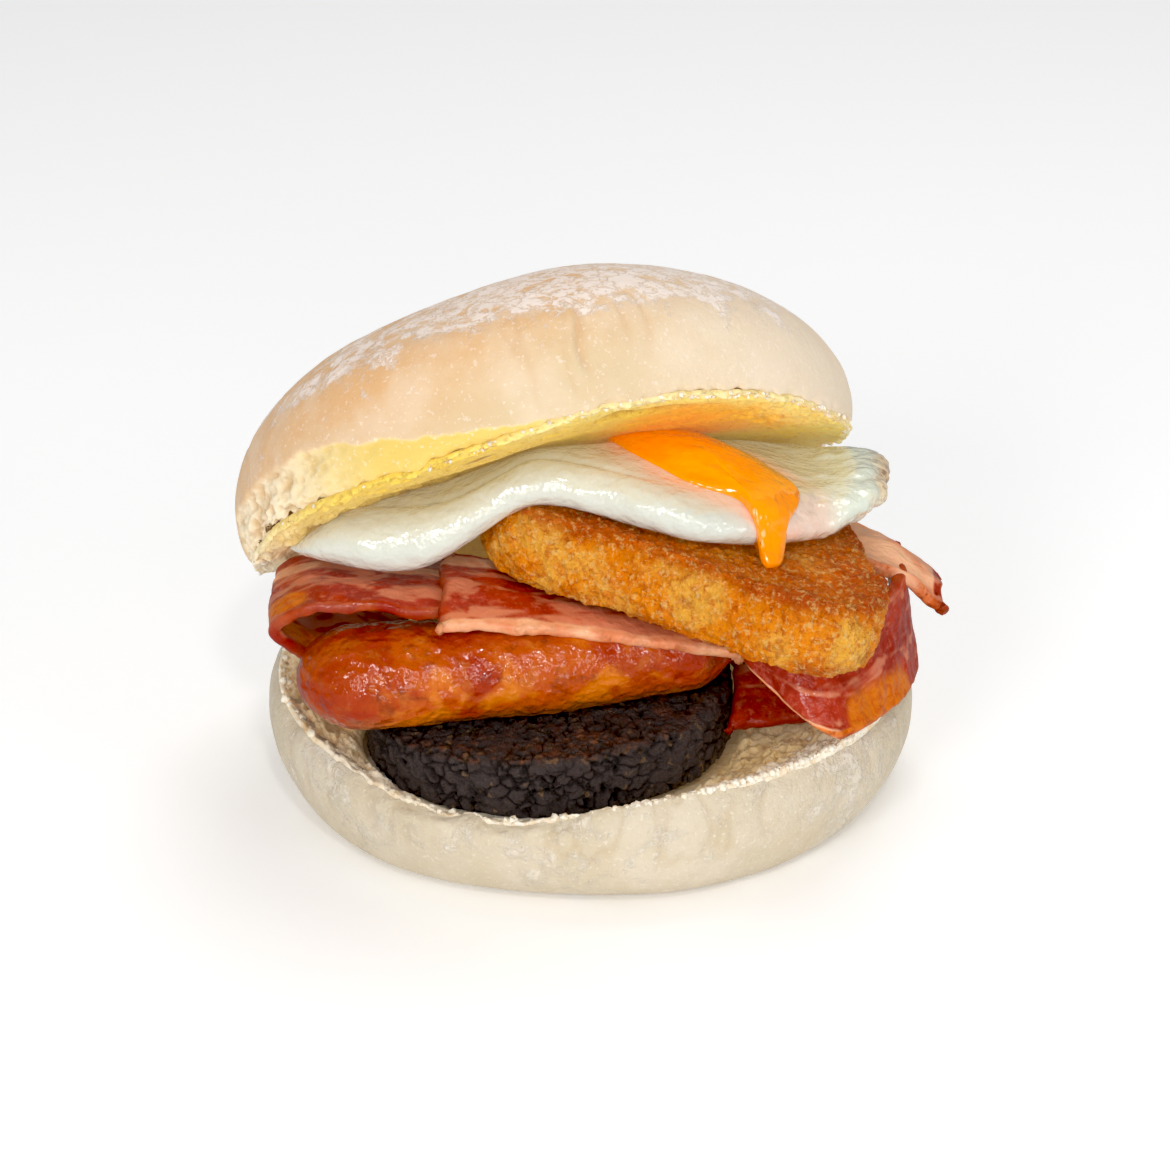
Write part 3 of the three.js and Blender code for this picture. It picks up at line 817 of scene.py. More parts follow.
def makeHeel():
    base = {"columns": 440, "front": -90, "crowding": 0.35, "footRows": 64, "wallRows": 60}
    angles = anglesRound(base)
    foot = np.radians(90 * np.linspace(0, 1, base["footRows"]) ** 0.8)
    wall = np.linspace(0, 1, base["wallRows"])
    radii = np.concatenate([
        [0, 12, 24, 36, 44],
        heel["footRadius"] + (bunRadius - heel["footRadius"]) * np.sin(foot),
        bunRadius - (bunRadius - heel["rimRadius"] + 0.2) * wall[1:] ** 2.6,
        [58.9, 58.2, 57, 54, 46, 30, 0],
    ])
    shares = np.concatenate([[0] * 5, [0] * len(foot), wall[1:], [0.98, 0.9, 0.8, 0.4, 0, 0, 0]])
    lows = np.concatenate(
        [
            [0] * 5, heel["widestHeight"] * (1 - np.cos(foot)), [heel["widestHeight"]] * (len(wall) - 1),
            [15] * 7,
        ]
    )
    x, y = polar(angles[None, :], radii[:, None])
    z = between(lows[:, None], heelRim(angles)[None, :] - 0.3, shares[:, None])
    squashed = (1 - np.minimum(z / heel["widestHeight"], 1)) ** 4
    corners = bump(turnTo(-138, angles), 26) + 0.6 * bump(turnTo(-45, angles), 26)
    uneven = 0.006 * np.sin(np.radians(3 * angles)) + 0.004 * np.sin(np.radians(5 * angles + 60))
    swell = 1 + uneven[None, :] + heel["spread"] * squashed * corners[None, :]
    mesh, flat = ringMesh("heel_crust", np.stack([x * swell, y * swell, z], axis=-1))
    x, y, z = flat.T
    above = ease(z, 0.3, 2.5)
    rim = bump(z - heelRim(angleOf(x, y)) + 0.3, 1.5)
    skin = 0.45 * lumps(flat, 24, 2, 21) + 0.16 * lumps(flat, 6, 3, 22) + 0.1 * lumps(
        flat * [1, 1, 0.4], 2.2, 3, 23,
    )
    wrinkle = ease(crustWrinkles(flat, 0.3, 6, 29), 0.7, 1) * ease(
        lumps(flat, 14, 2, 20), -0.3, 0.3,
    ) * ease(z, 7, 14)
    moveSkin(mesh, above * skin - 0.3 * wrinkle + 0.3 * rim * lumps(flat, 1.8, 3, 25))
    moveSkin(mesh, rim * tornEdge(x, y), np.array([0.0, 0.0, 1.0]))
    low = ease(z, 14, 2)
    # the wrinkle mask stored below paints shade into the crust's wrinkles
    store(
        mesh, baked=0.5 * ease(lumps(flat, 20, 3, 24), -0.3, 0.8) * (0.4 + 0.6 * low),
        flour=0.45 + 0.35 * lumps(flat, 14, 2, 28) - 0.25 * low, creased=0.5 * wrinkle,
    )
    # the darkest colour below is painted shade for the wrinkles
    look = {
        "side": "#cec0a6", "top": "#c9b088", "pale": "#e0d6c6", "deep": "#b69a70", "flour": "#f0e8dc",
        "dust": 0.4, "wave": 0.6, "pore": 0.3,
    }
    return showPiece(mesh, makeCrustMaterial("floured bap crust, base", look), "heel", "heel")


def makeHeelCrumb(material):
    cut = {"columns": 600, "front": -80, "crowding": 0.3, "rows": 134}
    angles = anglesRound(cut)
    share = np.linspace(0, 1, cut["rows"]) ** 0.5
    lip = np.radians(np.linspace(80, 0, 6))
    rim = heel["rimRadius"] + 0.3
    radii = np.concatenate(
        [(rim - 1) * share, rim - 1 + np.sin(np.radians(90) - lip), rim * np.array([0.98, 0.8, 0.4, 0])]
    )
    x, y = polar(angles[None, :], radii[:, None])
    drop = np.concatenate([[0] * len(share), 1 - np.sin(lip), [2.5] * 4])
    z = heelCrumb(x, y) - drop[:, None]
    z[-4:] = np.minimum(z[-4:], 13)
    shown = np.concatenate([np.ones(len(share)), np.linspace(1, 0, 6), [0] * 4])
    mesh, flat = ringMesh("heel_crumb", np.stack([x, y, z], axis=-1))
    x, y, z = flat.T
    shown = eachPoint(shown, cut["columns"])
    fromPudding = np.hypot(x - pudding["centre"][0], y - pudding["centre"][1]) - pudding["radius"]
    angle = angleOf(x, y)
    away = np.hypot(x, y)
    holes = breadHoles(flat, 3.6, 31)
    small = breadHoles(flat, 1.6, 32)
    nearRim = ease(away, 55.5, 58.5)
    rough = 2.5 * lumps(flat, 5, 4, 33, 0.6) - 2.2 * holes - 0.8 * small + 1.3
    fluff = tornEdge(x, y) + 0.65 * lumps(flat, 1.8, 3, 35, 0.6) - 0.4 * small + 0.4
    free = ease(fromPudding, 0.3, 2.5)
    moveSkin(mesh, shown * free * between(rough, fluff, nearRim), np.array([0.0, 0.0, 1.0]))
    places = placesOf(mesh)
    under = faceLevel(pudding, places[:, 0], places[:, 1], -1) - 0.3
    moveSkin(
        mesh, np.where(fromPudding < 0.6, np.minimum(0, under - places[:, 2]), 0),
        np.array([0.0, 0.0, 1.0]),
    )
    oily = 0.55 * bump(turnTo(-168, angle), 34) * ease(lumps(flat, 10, 3, 34), -0.7, 0.4)
    sauced = 0.8 * bump(turnTo(-50, angle), 26) * ease(56.5 + 1.5 * lumps(flat, 5, 3, 36) - away, 0, 4)
    # the holes are painted darker below: painted shade
    store(
        mesh, butter=(oily + sauced) * ease(58.5 - away, 0, 2), deep=0.7 * holes + 0.15 * small,
        torn=0.7 * bump(turnTo(-165, angle), 40),
    )
    return showPiece(mesh, material, "heel", "heel")


def looseCrumbsTree():
    # scatters small uneven crumbs over a bed of faces, thicker where the bed's "crumbs" value is high
    tree = bpy.data.node_groups.new("loose crumbs", "GeometryNodeTree")
    face = tree.interface
    face.new_socket("Bed", in_out="INPUT", socket_type="NodeSocketGeometry")
    for name, start in (("Per Square Millimetre", 1.0), ("Smallest", 0.5), ("Largest", 1.0)):
        face.new_socket(name, in_out="INPUT", socket_type="NodeSocketFloat").default_value = start
    face.new_socket("Seed", in_out="INPUT", socket_type="NodeSocketInt").default_value = 1
    face.new_socket("Crumb", in_out="INPUT", socket_type="NodeSocketMaterial")
    face.new_socket("Crumbs", in_out="OUTPUT", socket_type="NodeSocketGeometry")
    given = addNode(tree, "NodeGroupInput").outputs
    wanted = addNode(tree, "GeometryNodeInputNamedAttribute", {"data_type": "FLOAT"}, {"Name": "crumbs"})
    perMetre = addNode(
        tree, "ShaderNodeMath", {"operation": "MULTIPLY"}, {0: given["Per Square Millimetre"], 1: 1e6},
    )
    density = addNode(
        tree, "ShaderNodeMath", {"operation": "MULTIPLY"}, {0: perMetre, 1: wanted.outputs["Attribute"]},
    )
    spots = addNode(
        tree, "GeometryNodeDistributePointsOnFaces",
        inputs={"Mesh": given["Bed"], "Density": density, "Seed": given["Seed"]},
    )
    block = addNode(
        tree, "GeometryNodeMeshCube",
        inputs={"Size": (0.001,) * 3, "Vertices X": 3, "Vertices Y": 3, "Vertices Z": 3},
    )
    at = addNode(tree, "GeometryNodeInputPosition")
    rounded = addNode(tree, "ShaderNodeVectorMath", {"operation": "NORMALIZE"}, {0: at})
    uneven = addNode(tree, "ShaderNodeTexNoise", inputs={"Vector": at, "Scale": 1500.0, "Detail": 1.0})
    reach = addNode(
        tree, "ShaderNodeMapRange",
        inputs={"Value": uneven, "From Min": 0.3, "From Max": 0.7, "To Min": 0.0002, "To Max": 0.0007},
    )
    shaped = addNode(
        tree, "ShaderNodeVectorMath", {"operation": "SCALE"}, {"Vector": rounded, "Scale": reach},
    )
    crumb = addNode(
        tree, "GeometryNodeSetPosition", inputs={"Geometry": block.outputs["Mesh"], "Position": shaped},
    )
    turn = addNode(
        tree, "FunctionNodeRandomValue", {"data_type": "FLOAT_VECTOR"},
        {"Min": (0, 0, 0), "Max": (6.28,) * 3, "Seed": given["Seed"]},
    )
    size = addNode(
        tree, "FunctionNodeRandomValue", {"data_type": "FLOAT"},
        {"Min": given["Smallest"], "Max": given["Largest"], "Seed": given["Seed"]},
    )
    placed = addNode(
        tree, "GeometryNodeInstanceOnPoints",
        inputs={"Points": spots.outputs["Points"], "Instance": crumb, "Rotation": turn, "Scale": size},
    )
    solid = addNode(tree, "GeometryNodeRealizeInstances", inputs={"Geometry": placed})
    smooth = addNode(tree, "GeometryNodeSetShadeSmooth", inputs={"Geometry": solid})
    made = addNode(tree, "GeometryNodeSetMaterial", inputs={"Geometry": smooth, "Material": given["Crumb"]})
    addNode(tree, "NodeGroupOutput", inputs={"Crumbs": made})
    return tree


def scatterCrumbs(name, tree, bed, wanted, settings, material, slotName, node):
    # bed is a grid of points; wanted tells for each how thickly the crumbs lie there
    rows, columns = bed.shape[:2]
    place = np.arange(rows * columns).reshape(rows, columns)
    faces = np.stack(
        [place[:-1, :-1], place[:-1, 1:], place[1:, 1:], place[1:, :-1]], axis=-1,
    ).reshape(-1, 4)
    ground = bpy.data.meshes.new(name + "_bed")
    ground.from_pydata((bed.reshape(-1, 3) / 1000).tolist(), [], faces.tolist())
    store(ground, crumbs=np.broadcast_to(wanted, bed.shape[:2]))
    holder = bpy.data.objects.new(name + "_bed", ground)
    bpy.context.scene.collection.objects.link(holder)
    scatter = holder.modifiers.new("scatter", "NODES")
    scatter.node_group = tree
    sockets = {item.name: item.identifier for item in tree.interface.items_tree if item.in_out == "INPUT"}
    for key, value in {**settings, "Crumb": material}.items():
        scatter[sockets[key]] = value
    mesh = bpy.data.meshes.new_from_object(holder.evaluated_get(bpy.context.evaluated_depsgraph_get()))
    mesh.name = name
    bpy.data.objects.remove(holder)
    mesh.materials.clear()
    return showPiece(mesh, material, slotName, node)


def makeCrumbs(crownCrumb, heelCrumbMaterial):
    tree = looseCrumbsTree()
    angles = np.linspace(0, 360, 721)
    x, y = polar(angles[None, :], np.array([57.6, 58.3, 59.0])[:, None])
    x, y, z = placeCrown(x, y, np.array([-0.1, 0.0, 0.5])[:, None] + 0 * x)
    bed = np.stack([x, y, z], axis=-1) @ crown["turn"].T + crown["centre"]
    scatterCrumbs(
        "crown_crumbs", tree, bed, 1 - 0.9 * ease(-turnTo(-60, angles), 12, 50),
        {"Per Square Millimetre": 0.8, "Smallest": 0.4, "Largest": 1.1, "Seed": 5}, crownCrumb, "crown",
        "crown",
    )
    x, y = polar(angles[None, :], np.linspace(44, 60, 17)[:, None])
    bed = np.stack([x, y, heelCrumb(x, y)], axis=-1)
    away = np.hypot(x, y)
    clear = ease(
        np.hypot(x - pudding["centre"][0], y - pudding["centre"][1]), pudding["radius"] + 0.6,
        pudding["radius"] + 1.2,
    )
    wanted = 0.15 * bump(away - 59.0, 1.2) + 1.0 * bump(
        turnTo(-60, angles), 24,
    ) * clear * ease(away, 44, 50)
    settings = {"Per Square Millimetre": 1.4, "Smallest": 0.5, "Largest": 2.0, "Seed": 8}
    scatterCrumbs("heel_crumbs", tree, bed, wanted, settings, heelCrumbMaterial, "heel", "heel")


def makePuddingMaterial():
    # Black pudding, sliced and fried: near-black and coarse, with oat and fat flecks in a browned face.
    material, tree, shader, place = startMaterial("fried black pudding", {"Specular IOR Level": 0.5})
    moved = warped(tree, place, 1.0, 1.0)
    fleck = addNode(tree, "ShaderNodeTexVoronoi", {"feature": "F1"}, {"Vector": moved, "Scale": 1000 / 1.0})
    pick = addNode(tree, "ShaderNodeSeparateColor", inputs={"Color": fleck.outputs["Color"]})
    oat = addNode(
        tree, "ShaderNodeMapRange",
        inputs={"Value": pick.outputs["Red"], "From Min": 0.86, "From Max": 0.95},
    )
    fat = addNode(
        tree, "ShaderNodeMapRange",
        inputs={"Value": pick.outputs["Green"], "From Min": 0.95, "From Max": 0.98},
    )
    brown = patches(tree, place, 3.5, 0.47, 0.64, 5, 0.65)
    grit = patches(tree, place, 0.9, 0.4, 0.7, 4)
    colour = paint(tree, "#4a403e", [
        ("#524440", grit, 0.7),
        ("#7a4630", brown, "face", 0.7),
        ("#9a6446", oat, "face", 0.75),
        ("#4a2a1c", oat, 0.2),
        ("#b08858", fat, 0.35),
        # painted shade in the seams and pits
        ("#0c0908", "deep", 0.85),
    ])
    coarse = addNode(
        tree, "ShaderNodeTexNoise",
        inputs={"Vector": place, "Scale": 1000 / 1.4, "Detail": 6.0, "Roughness": 0.7},
    )
    shine = addNode(
        tree, "ShaderNodeMapRange",
        inputs={"Value": coarse, "From Min": 0.35, "From Max": 0.65, "To Min": 0.18, "To Max": 0.6},
    )
    connect(tree, shader, Base_Color=colour, Roughness=shine, Normal=relief(tree, [(coarse, 1.5)]))
    return material


def makePudding():
    disc = {"columns": 560, "front": -90, "crowding": 0.5, "faceRows": 76, "sideRows": 56}
    angles = anglesRound(disc)
    half, edge, reach = pudding["thickness"] / 2, pudding["edge"], pudding["radius"]
    face = np.linspace(0, 1, disc["faceRows"]) ** 0.7 * (reach - edge)
    corner = np.radians(np.linspace(90, 0, 9))[1:]
    wall = np.linspace(half - edge, edge - half, disc["sideRows"])[1:-1]
    radii = np.concatenate([
        face, reach - edge + edge * np.cos(corner), [reach] * len(wall),
        reach - edge + edge * np.cos(corner[::-1]), [reach * 0.9, reach * 0.5, 0],
    ])
    heights = np.concatenate([
        [half] * len(face), half - edge + edge * np.sin(corner), wall,
        edge - half - edge * np.sin(corner[::-1]), [-half] * 3,
    ])
    swell = 1 + 0.012 * np.sin(np.radians(2 * angles) + 0.6) + 0.008 * np.sin(np.radians(7 * angles))
    x, y = polar(angles[None, :], radii[:, None])
    local = np.stack([x * swell, y * swell, np.broadcast_to(heights[:, None], x.shape)], axis=-1)
    mesh, flat = ringMesh("pudding_slice", local, pudding)
    x, y, z = flat.T
    first, second, number = grains(shaken(flat, 1.6, 3, 3, 45, 0.6) * [1, 1, 1.2], 3.2, 42)
    seams = (1 - ease(second - first, 0.0, 0.22)) * ease(lumps(flat, 5, 2, 48), -0.6, 0.1)
    pits = ease(lumps(flat, 2.6, 3, 49, 0.6), 0.2, 0.55)
    hidden = z < -half + 0.4
    rough = 0.5 * lumps(flat, 6, 3, 43) + 0.5 * lumps(
        flat, 1.5, 3, 50, 0.65,
    ) + 0.3 * (number - 0.5) - 0.6 * seams - 0.8 * pits - 0.1
    moveSkin(mesh, np.where(hidden, -0.1, rough))
    face = ease(z, half - 1.4, half - 0.3) * ease(lumps(flat, 12, 3, 44), -0.7, 0.2)
    # the seams and pits are painted darker: painted shade
    store(mesh, face=face, deep=np.clip(0.9 * seams + 0.7 * pits, 0, 1))
    return showPiece(mesh, makePuddingMaterial(), "black_pudding", "black_pudding")


sausage = {
    "radius": 10.6,
    "heightShare": 0.91,
    "length": 81.0,
    "bow": 2.2,
    "taper": 0.12,
    "centre": np.array([-12.8, -33.2, 37.7]),
    "turn": turned(0, -2.7, 8),
}


def makeSausageMaterial():
    # Pork sausage in a fried skin: translucent, tight and oily, browned on top and paler below.
    material, tree, shader, place = startMaterial("fried sausage skin", {
        "Specular IOR Level": 0.15, "Coat Weight": 0.9, "Coat Roughness": 0.07,
    }, soft=(0.1, 2.5, (1.0, 0.35, 0.1)))
    red = patches(tree, place, 16, 0.44, 0.56, 3, 0.5, 0.6)
    amber = patches(tree, place, 12, 0.52, 0.64, 3, 0.5, 0.6)
    streak = patches(tree, place, 4, 0.52, 0.7, 5)
    dark = patches(tree, place, 5, 0.54, 0.7, 5, 0.65)
    colour = paint(tree, "#a8642a", [
        ("#b84c08", "fried"),
        ("#d87a1a", "fried", amber, 0.8),
        ("#9c2400", "fried", red, 0.8),
        ("#d98e3c", streak, 0.25),
        ("#5c1802", dark, 0.55),
        ("#941f02", "tip", 0.65),
    ])
    crinkle = addNode(
        tree, "ShaderNodeTexVoronoi", {"feature": "F1"},
        {"Vector": warped(tree, place, 2.5, 0.9), "Scale": 1000 / 2.0},
    )
    wrinkle = addNode(
        tree, "ShaderNodeTexNoise",
        inputs={"Vector": place, "Scale": 1000 / 3.0, "Detail": 3.0, "Roughness": 0.6},
    )
    wet = addNode(tree, "ShaderNodeMapRange", inputs={"Value": wrinkle, "To Min": 0.2, "To Max": 0.5})
    normal = relief(tree, [(wrinkle, 0.5), (crinkle, 0.35)])
    connect(tree, shader, Base_Color=colour, Roughness=wet, Normal=normal, Coat_Normal=normal)
    return material


def makeSausage():
    skin = {"rings": 360, "round": 240}
    half = sausage["length"] / 2
    reach = sausage["radius"]
    even = np.linspace(0, 1, skin["rings"])
    x = half * np.sin(np.pi * (even - 0.5)) * 0.25 + half * (2 * even - 1) * 0.75
    inset = np.clip(np.abs(x) - (half - reach), 0, reach)
    radius = np.sqrt(np.maximum(reach**2 - inset**2, 0))
    radius[[0, -1]] = 0
    along = x / half
    girth = 1 - sausage["taper"] * along**2 - 0.035 * along + 0.02 * np.sin(7 * along)
    angles = np.arange(skin["round"]) / skin["round"] * 360
    y, z = polar(angles[None, :], (radius * girth)[:, None])
    y = y + sausage["bow"] * along[:, None] ** 2
    z = z * sausage["heightShare"]
    mesh, local = ringMesh(
        "sausage_skin", np.stack([np.broadcast_to(x[:, None], y.shape), y, z], axis=-1), sausage,
    )
    x, y, z = local.T
    tips = ease(np.abs(x), half - 18, half - 3)
    shifted = local + 1.2 * lumps(local, 5, 2, 52)[:, None]
    folds = 1 - 2 * np.abs(lumps(shifted * [0.7, 1, 1], 4.5, 3, 53))
    first = grains(shifted * [0.8, 1, 1] + 0.5 * lumps(local, 1.5, 2, 58)[:, None], 2.4, 59)[0]
    crumpled = ease(lumps(local, 12, 2, 60), -0.6, 0.2)
    skinMove = 0.3 * lumps(local, 12, 2, 54) + (0.14 + 0.25 * tips) * folds - 0.38 * crumpled * first
    moveSkin(mesh, skinMove - 0.1)
    top = z - 0.45 * y
    store(mesh, fried=ease(top + 3.5 * lumps(local, 9, 3, 55), -8, 2), tip=tips * ease(-x, 0, 10))
    return showPiece(mesh, makeSausageMaterial(), "sausage", "sausage")


def makePotatoMaterial():
    # Grated potato pressed into a patty and fried: a golden, granular crust, browner on ridges and edges.
    material, tree, shader, place = startMaterial("fried hash brown crust", {
        "Specular IOR Level": 0.3,
    }, soft=(0.1, 2, (1.0, 0.5, 0.12)))
    pale = patches(tree, place, 10, 0.46, 0.58, 3, 0.45)
    brown = patches(tree, place, 5, 0.5, 0.66, 6, 0.68)
    speck = patches(tree, place, 1.8, 0.5, 0.62, 5, 0.75)
    light = patches(tree, place, 1.2, 0.52, 0.62, 4, 0.75)
    colour = paint(tree, "#fa9416", [
        ("#ffc04c", pale, 0.8),
        ("#e86c0c", brown, 0.55),
        ("#d86410", "toasted", 0.75),
        ("#b44006", "ridge", 0.8),
        ("#c24c08", speck, 0.6),
        ("#ffd88a", light, 0.5),
        # painted shade in the hollows between the grit
        ("#a84406", "deep", 0.45),
    ])
    crumb = addNode(
        tree, "ShaderNodeTexNoise",
        inputs={"Vector": place, "Scale": 1000 / 0.9, "Detail": 5.0, "Roughness": 0.68},
    )
    grit = addNode(
        tree, "ShaderNodeTexNoise",
        inputs={"Vector": place, "Scale": 1000 / 2.4, "Detail": 3.0, "Roughness": 0.6},
    )
    shine = addNode(
        tree, "ShaderNodeMapRange",
        inputs={"Value": crumb, "From Min": 0.3, "From Max": 0.7, "To Min": 0.28, "To Max": 0.6},
    )
    connect(
        tree, shader, Base_Color=colour, Roughness=shine, Normal=relief(tree, [(grit, 1.4), (crumb, 1.2)]),
    )
    return material


def makeHashBrown():
    patty = {"columns": 620, "front": -90, "crowding": 0.5, "faceRows": 66, "sideRows": 78}
    angles = anglesRound(patty)
    half, edge = hashBrown["thickness"] / 2, hashBrown["edge"]
    face = np.linspace(0, 1, patty["faceRows"]) ** 0.75
    side = np.radians(np.linspace(90, -90, patty["sideRows"]))[1:-1]
    inset = edge * (1 - np.abs(np.cos(side)) ** 0.8)
    outline = hashOutline(angles) * (1 + 0.01 * np.sin(np.radians(9 * angles)))
    radii = np.concatenate([
        face[:, None] * (outline - edge)[None, :],
        outline[None, :] - inset[:, None],
        np.array([1, 0.6, 0])[:, None] * (outline - edge)[None, :],
    ])
    heights = np.concatenate(
        [[half] * len(face), half * np.sign(side) * np.abs(np.sin(side)) ** 0.8, [-half] * 3]
    )
    x, y = polar(angles[None, :], radii)
    z = heights[:, None] + 0.5 * np.sin(x / 9) * np.cos(y / 8)
    mesh, local = ringMesh("hash_brown_crust", np.stack([x, y, z], axis=-1), hashBrown)
    x, y, z = local.T
    first = grains(shaken(local, 0.9, 1.8, 2, 65), 1.9, 61)[0]
    gritty = lumps(local, 2.2, 4, 62, 0.6)
    shreds = lumps(local * [0.5, 1, 1], 3.5, 3, 68)
    rim = bump(np.abs(z) - half + 1, 2.2) * ease(np.hypot(x, y), 20, 27)
    fine = lumps(local, 1.1, 2, 69)
    uneven = 0.6 * lumps(local, 9, 2, 63) + (0.7 + 0.4 * rim) * gritty + 0.4 * shreds
    moveSkin(mesh, uneven + 0.5 * (0.45 - first) + 0.4 * fine - 0.35)
    ridge = ease(gritty + 0.5 * shreds + 0.4 * fine, 0.2, 0.7)
    browned = rim * ease(lumps(local, 6, 3, 64), -0.6, 0.4)
    toasted = ease(z, half - 2.5, half - 0.3) * ease(lumps(local, 7, 3, 70), -1.0, 0.1)
    # the hollows between the grit are painted darker: painted shade
    store(
        mesh, ridge=np.clip(0.4 * ridge + browned, 0, 1), deep=ease(-gritty - 0.4 * shreds, 0.25, 0.7),
        toasted=toasted,
    )
    return showPiece(mesh, makePotatoMaterial(), "hash_brown", "hash_brown")


def makeBaconMaterial():
    # Back bacon, grilled: pink-red lean between bands of translucent fat, wet, with crisp brown edges.
    material, tree, shader, place = startMaterial("grilled back bacon", {
        "Specular IOR Level": 0.15, "Coat Weight": 0.4, "Coat Roughness": 0.08,
    }, soft=(0.12, 2, (1.0, 0.25, 0.1)))
    grain = patches(tree, place, 2.2, 0.42, 0.66, 5, 0.65, 1.0)
    blush = patches(tree, place, 8, 0.42, 0.62, 4)
    colour = paint(tree, "#a83018", [
        ("#c04a2c", grain, 0.4),
        ("#801608", blush, 0.5),
        ("#d98a68", "marbling", 0.75),
        ("#d0705a", patches(tree, place, 1.6, 0.5, 0.66, 5, 0.7), 0.45),
        ("#8a1604", "edge", 0.8),
        ("#efb68e", "fat"),
        ("#d87448", "fat", blush, 0.6),
        ("#d97a18", "amber", 0.85),
        ("#b8460c", "amber", grain, 0.7),
        ("#d2641a", "crisp", 0.8),
        ("#6a2003", "crisp", grain, 0.8),
    ])
    fibre = addNode(
        tree, "ShaderNodeTexNoise",
        inputs={"Vector": place, "Scale": 1000 / 2.4, "Detail": 3.0, "Distortion": 0.3},
    )
    wet = addNode(tree, "ShaderNodeMapRange", inputs={"Value": fibre, "To Min": 0.2, "To Max": 0.55})
    normal = relief(tree, [(fibre, 0.5)])
    connect(tree, shader, Base_Color=colour, Roughness=wet, Normal=normal, Coat_Normal=normal)
    return material


rasherThickness = 2.4


def makeRasher(name, node, surface, look, material):
    # a closed sheet round surface(u, v), thick in the middle and rounded at its border
    rows, columns, seed = look["rows"], look["columns"], look["seed"]
    u, v = np.meshgrid(np.linspace(0, 1, rows), np.linspace(0, 1, columns), indexing="ij")
    middle = surface(u, v)
    runU = np.concatenate(
        [np.zeros((1, columns)), np.cumsum(np.linalg.norm(np.diff(middle, axis=0), axis=-1), axis=0)]
    )
    runV = np.concatenate(
        [np.zeros((rows, 1)), np.cumsum(np.linalg.norm(np.diff(middle, axis=1), axis=-1), axis=1)], axis=1,
    )
    place = np.stack([runU, runV, np.full_like(runU, seed * 13.0)], axis=-1)
    toEnds = np.minimum(runU, runU[-1:] - runU)
    toSides = np.minimum(runV, runV[:, -1:] - runV)
    border = np.minimum(toEnds, toSides)
    # a slightly uneven outline, drawn in from the true border
    ragged = 0.9 * (1 - lumps(place, 5, 3, seed + 6)) * bump(border, 2.5)
    alongU, alongV = (
        d / np.maximum(np.linalg.norm(d, axis=-1, keepdims=True), 1e-9)
        for d in (np.gradient(middle, axis=0), np.gradient(middle, axis=1))
    )
    inwards = np.where(
        (toSides < toEnds)[..., None], alongV * np.sign(0.5 - v)[..., None],
        alongU * np.sign(0.5 - u)[..., None],
    )
    middle = middle + ragged[..., None] * inwards
    facing = np.cross(np.gradient(middle, axis=0), np.gradient(middle, axis=1))
    facing /= np.maximum(np.linalg.norm(facing, axis=-1, keepdims=True), 1e-9)
    ruffle = look["ruffle"] * (
        bump(border, 6) * lumps(place, 7, 2, seed) + 0.5 * lumps(place * [1, 0.35, 1], 4.5, 2, seed + 8)
    )
    middle = middle + facing * ruffle[..., None]
    rounded = np.sqrt(1 - (1 - np.clip(border / 1.1, 0, 1)) ** 2)
    half = rasherThickness / 2 * rounded * (1 + 0.25 * lumps(place, 6, 3, seed + 1))
    inner = (slice(1, -1), slice(1, -1))
    top = middle + facing * half[..., None]
    under = (middle - facing * half[..., None])[inner]
    mesh = makeMesh(name, np.vstack([top.reshape(-1, 3), under.reshape(-1, 3)]), sheetFaces(rows, columns))
    moveSkin(mesh, 0.2 * lumps(placesOf(mesh), 2.4, 3, seed + 4))
    waver = 2.0 * lumps(place, 14, 2, seed + 2) + 0.6 * lumps(place, 3, 3, seed + 7)

    def bands(key):
        share = np.zeros_like(runU)
        for start, end, centre, width in look.get(key, []):
            share = np.maximum(
                share,
                bump(
                    runV + waver - centre, width,
                ) * ease(u, start - 0.08, start) * ease(u, end + 0.08, end),
            )
        return ease(share, 0.25, 0.65)

    streaks = ease(
        lumps(place * [0.22, 1, 1] + 2 * lumps(place, 9, 2, seed + 5)[..., None], 2.2, 3, seed + 9),
        look["lean"], look["lean"] + 0.3,
    )
    masks = {
        "fat": bands("fat"),
        "amber": bands("amber"),
        "edge": bump(border, 1.1),
        "crisp": look["crisp"] * bump(border, 1.3) * ease(lumps(place, 4, 2, seed + 3), -0.5, 0.4),
        "marbling": streaks,
    }
    store(mesh, **{key: np.concatenate([mask.ravel(), mask[inner].ravel()]) for key, mask in masks.items()})
    return showPiece(mesh, material, "bacon", node)


leftLine = [
    [-4, 0, 47.4], [-16, 0, 48.6], [-30, 0, 50.6], [-50, 0, 51.2], [-57.4, 0, 46.8], [-52.5, 0, 42],
    [-43, 0, 40], [-33, 0, 39],
]
middleLine = [[-28, 0, 53], [-14, 0, 52.6], [4, 0, 50], [28, 0, 45.5]]
rightLine = [[27, -34, 0], [43, -45.5, 0], [52, -37, 0], [58.5, -24, 0], [61, -10, 0], [59, 3, 0]]
flapLine = [[34, 0, 48], [48, 0, 48.5], [59, 0, 45], [67, 0, 38.5]]


def leftSurface(u, v):
    p = smoothPath(leftLine, u)
    under = ease(u, 0.55, 0.85)
    p[..., 1] = between(-38.5, -31, under) + v * between(28, 23, under)
    p[..., 2] += between(
        -1.6, 0, np.minimum(1, v * 4),
    ) * (1 - under) - 2.5 * v * v + between(-4.5, 4, v) * under
    return p


def middleSurface(u, v):
    p = smoothPath(middleLine, u)
    p[..., 1] = between(-42.5, -38, u) + v * 26
    free = p[..., 2] - 5.5 * (1 - v) ** 3
    p[..., 2] = softMin(
        free, faceLevel(hashBrown, p[..., 0], p[..., 1], -1) - rasherThickness / 2 - gap, 1.5,
    )
    return p


def rightSurface(u, v):
    p = smoothPath(rightLine, u)
    low = np.where(u < 0.3, between(39, 27, u / 0.3), between(27, 25.5, (u - 0.3) / 0.7))
    inward = 1 - between(0.25, 0.02, u) * v
    return np.stack(
        [p[..., 0] * inward, p[..., 1] * inward, between(low, between(45.5, 47, u), v)], axis=-1,
    )


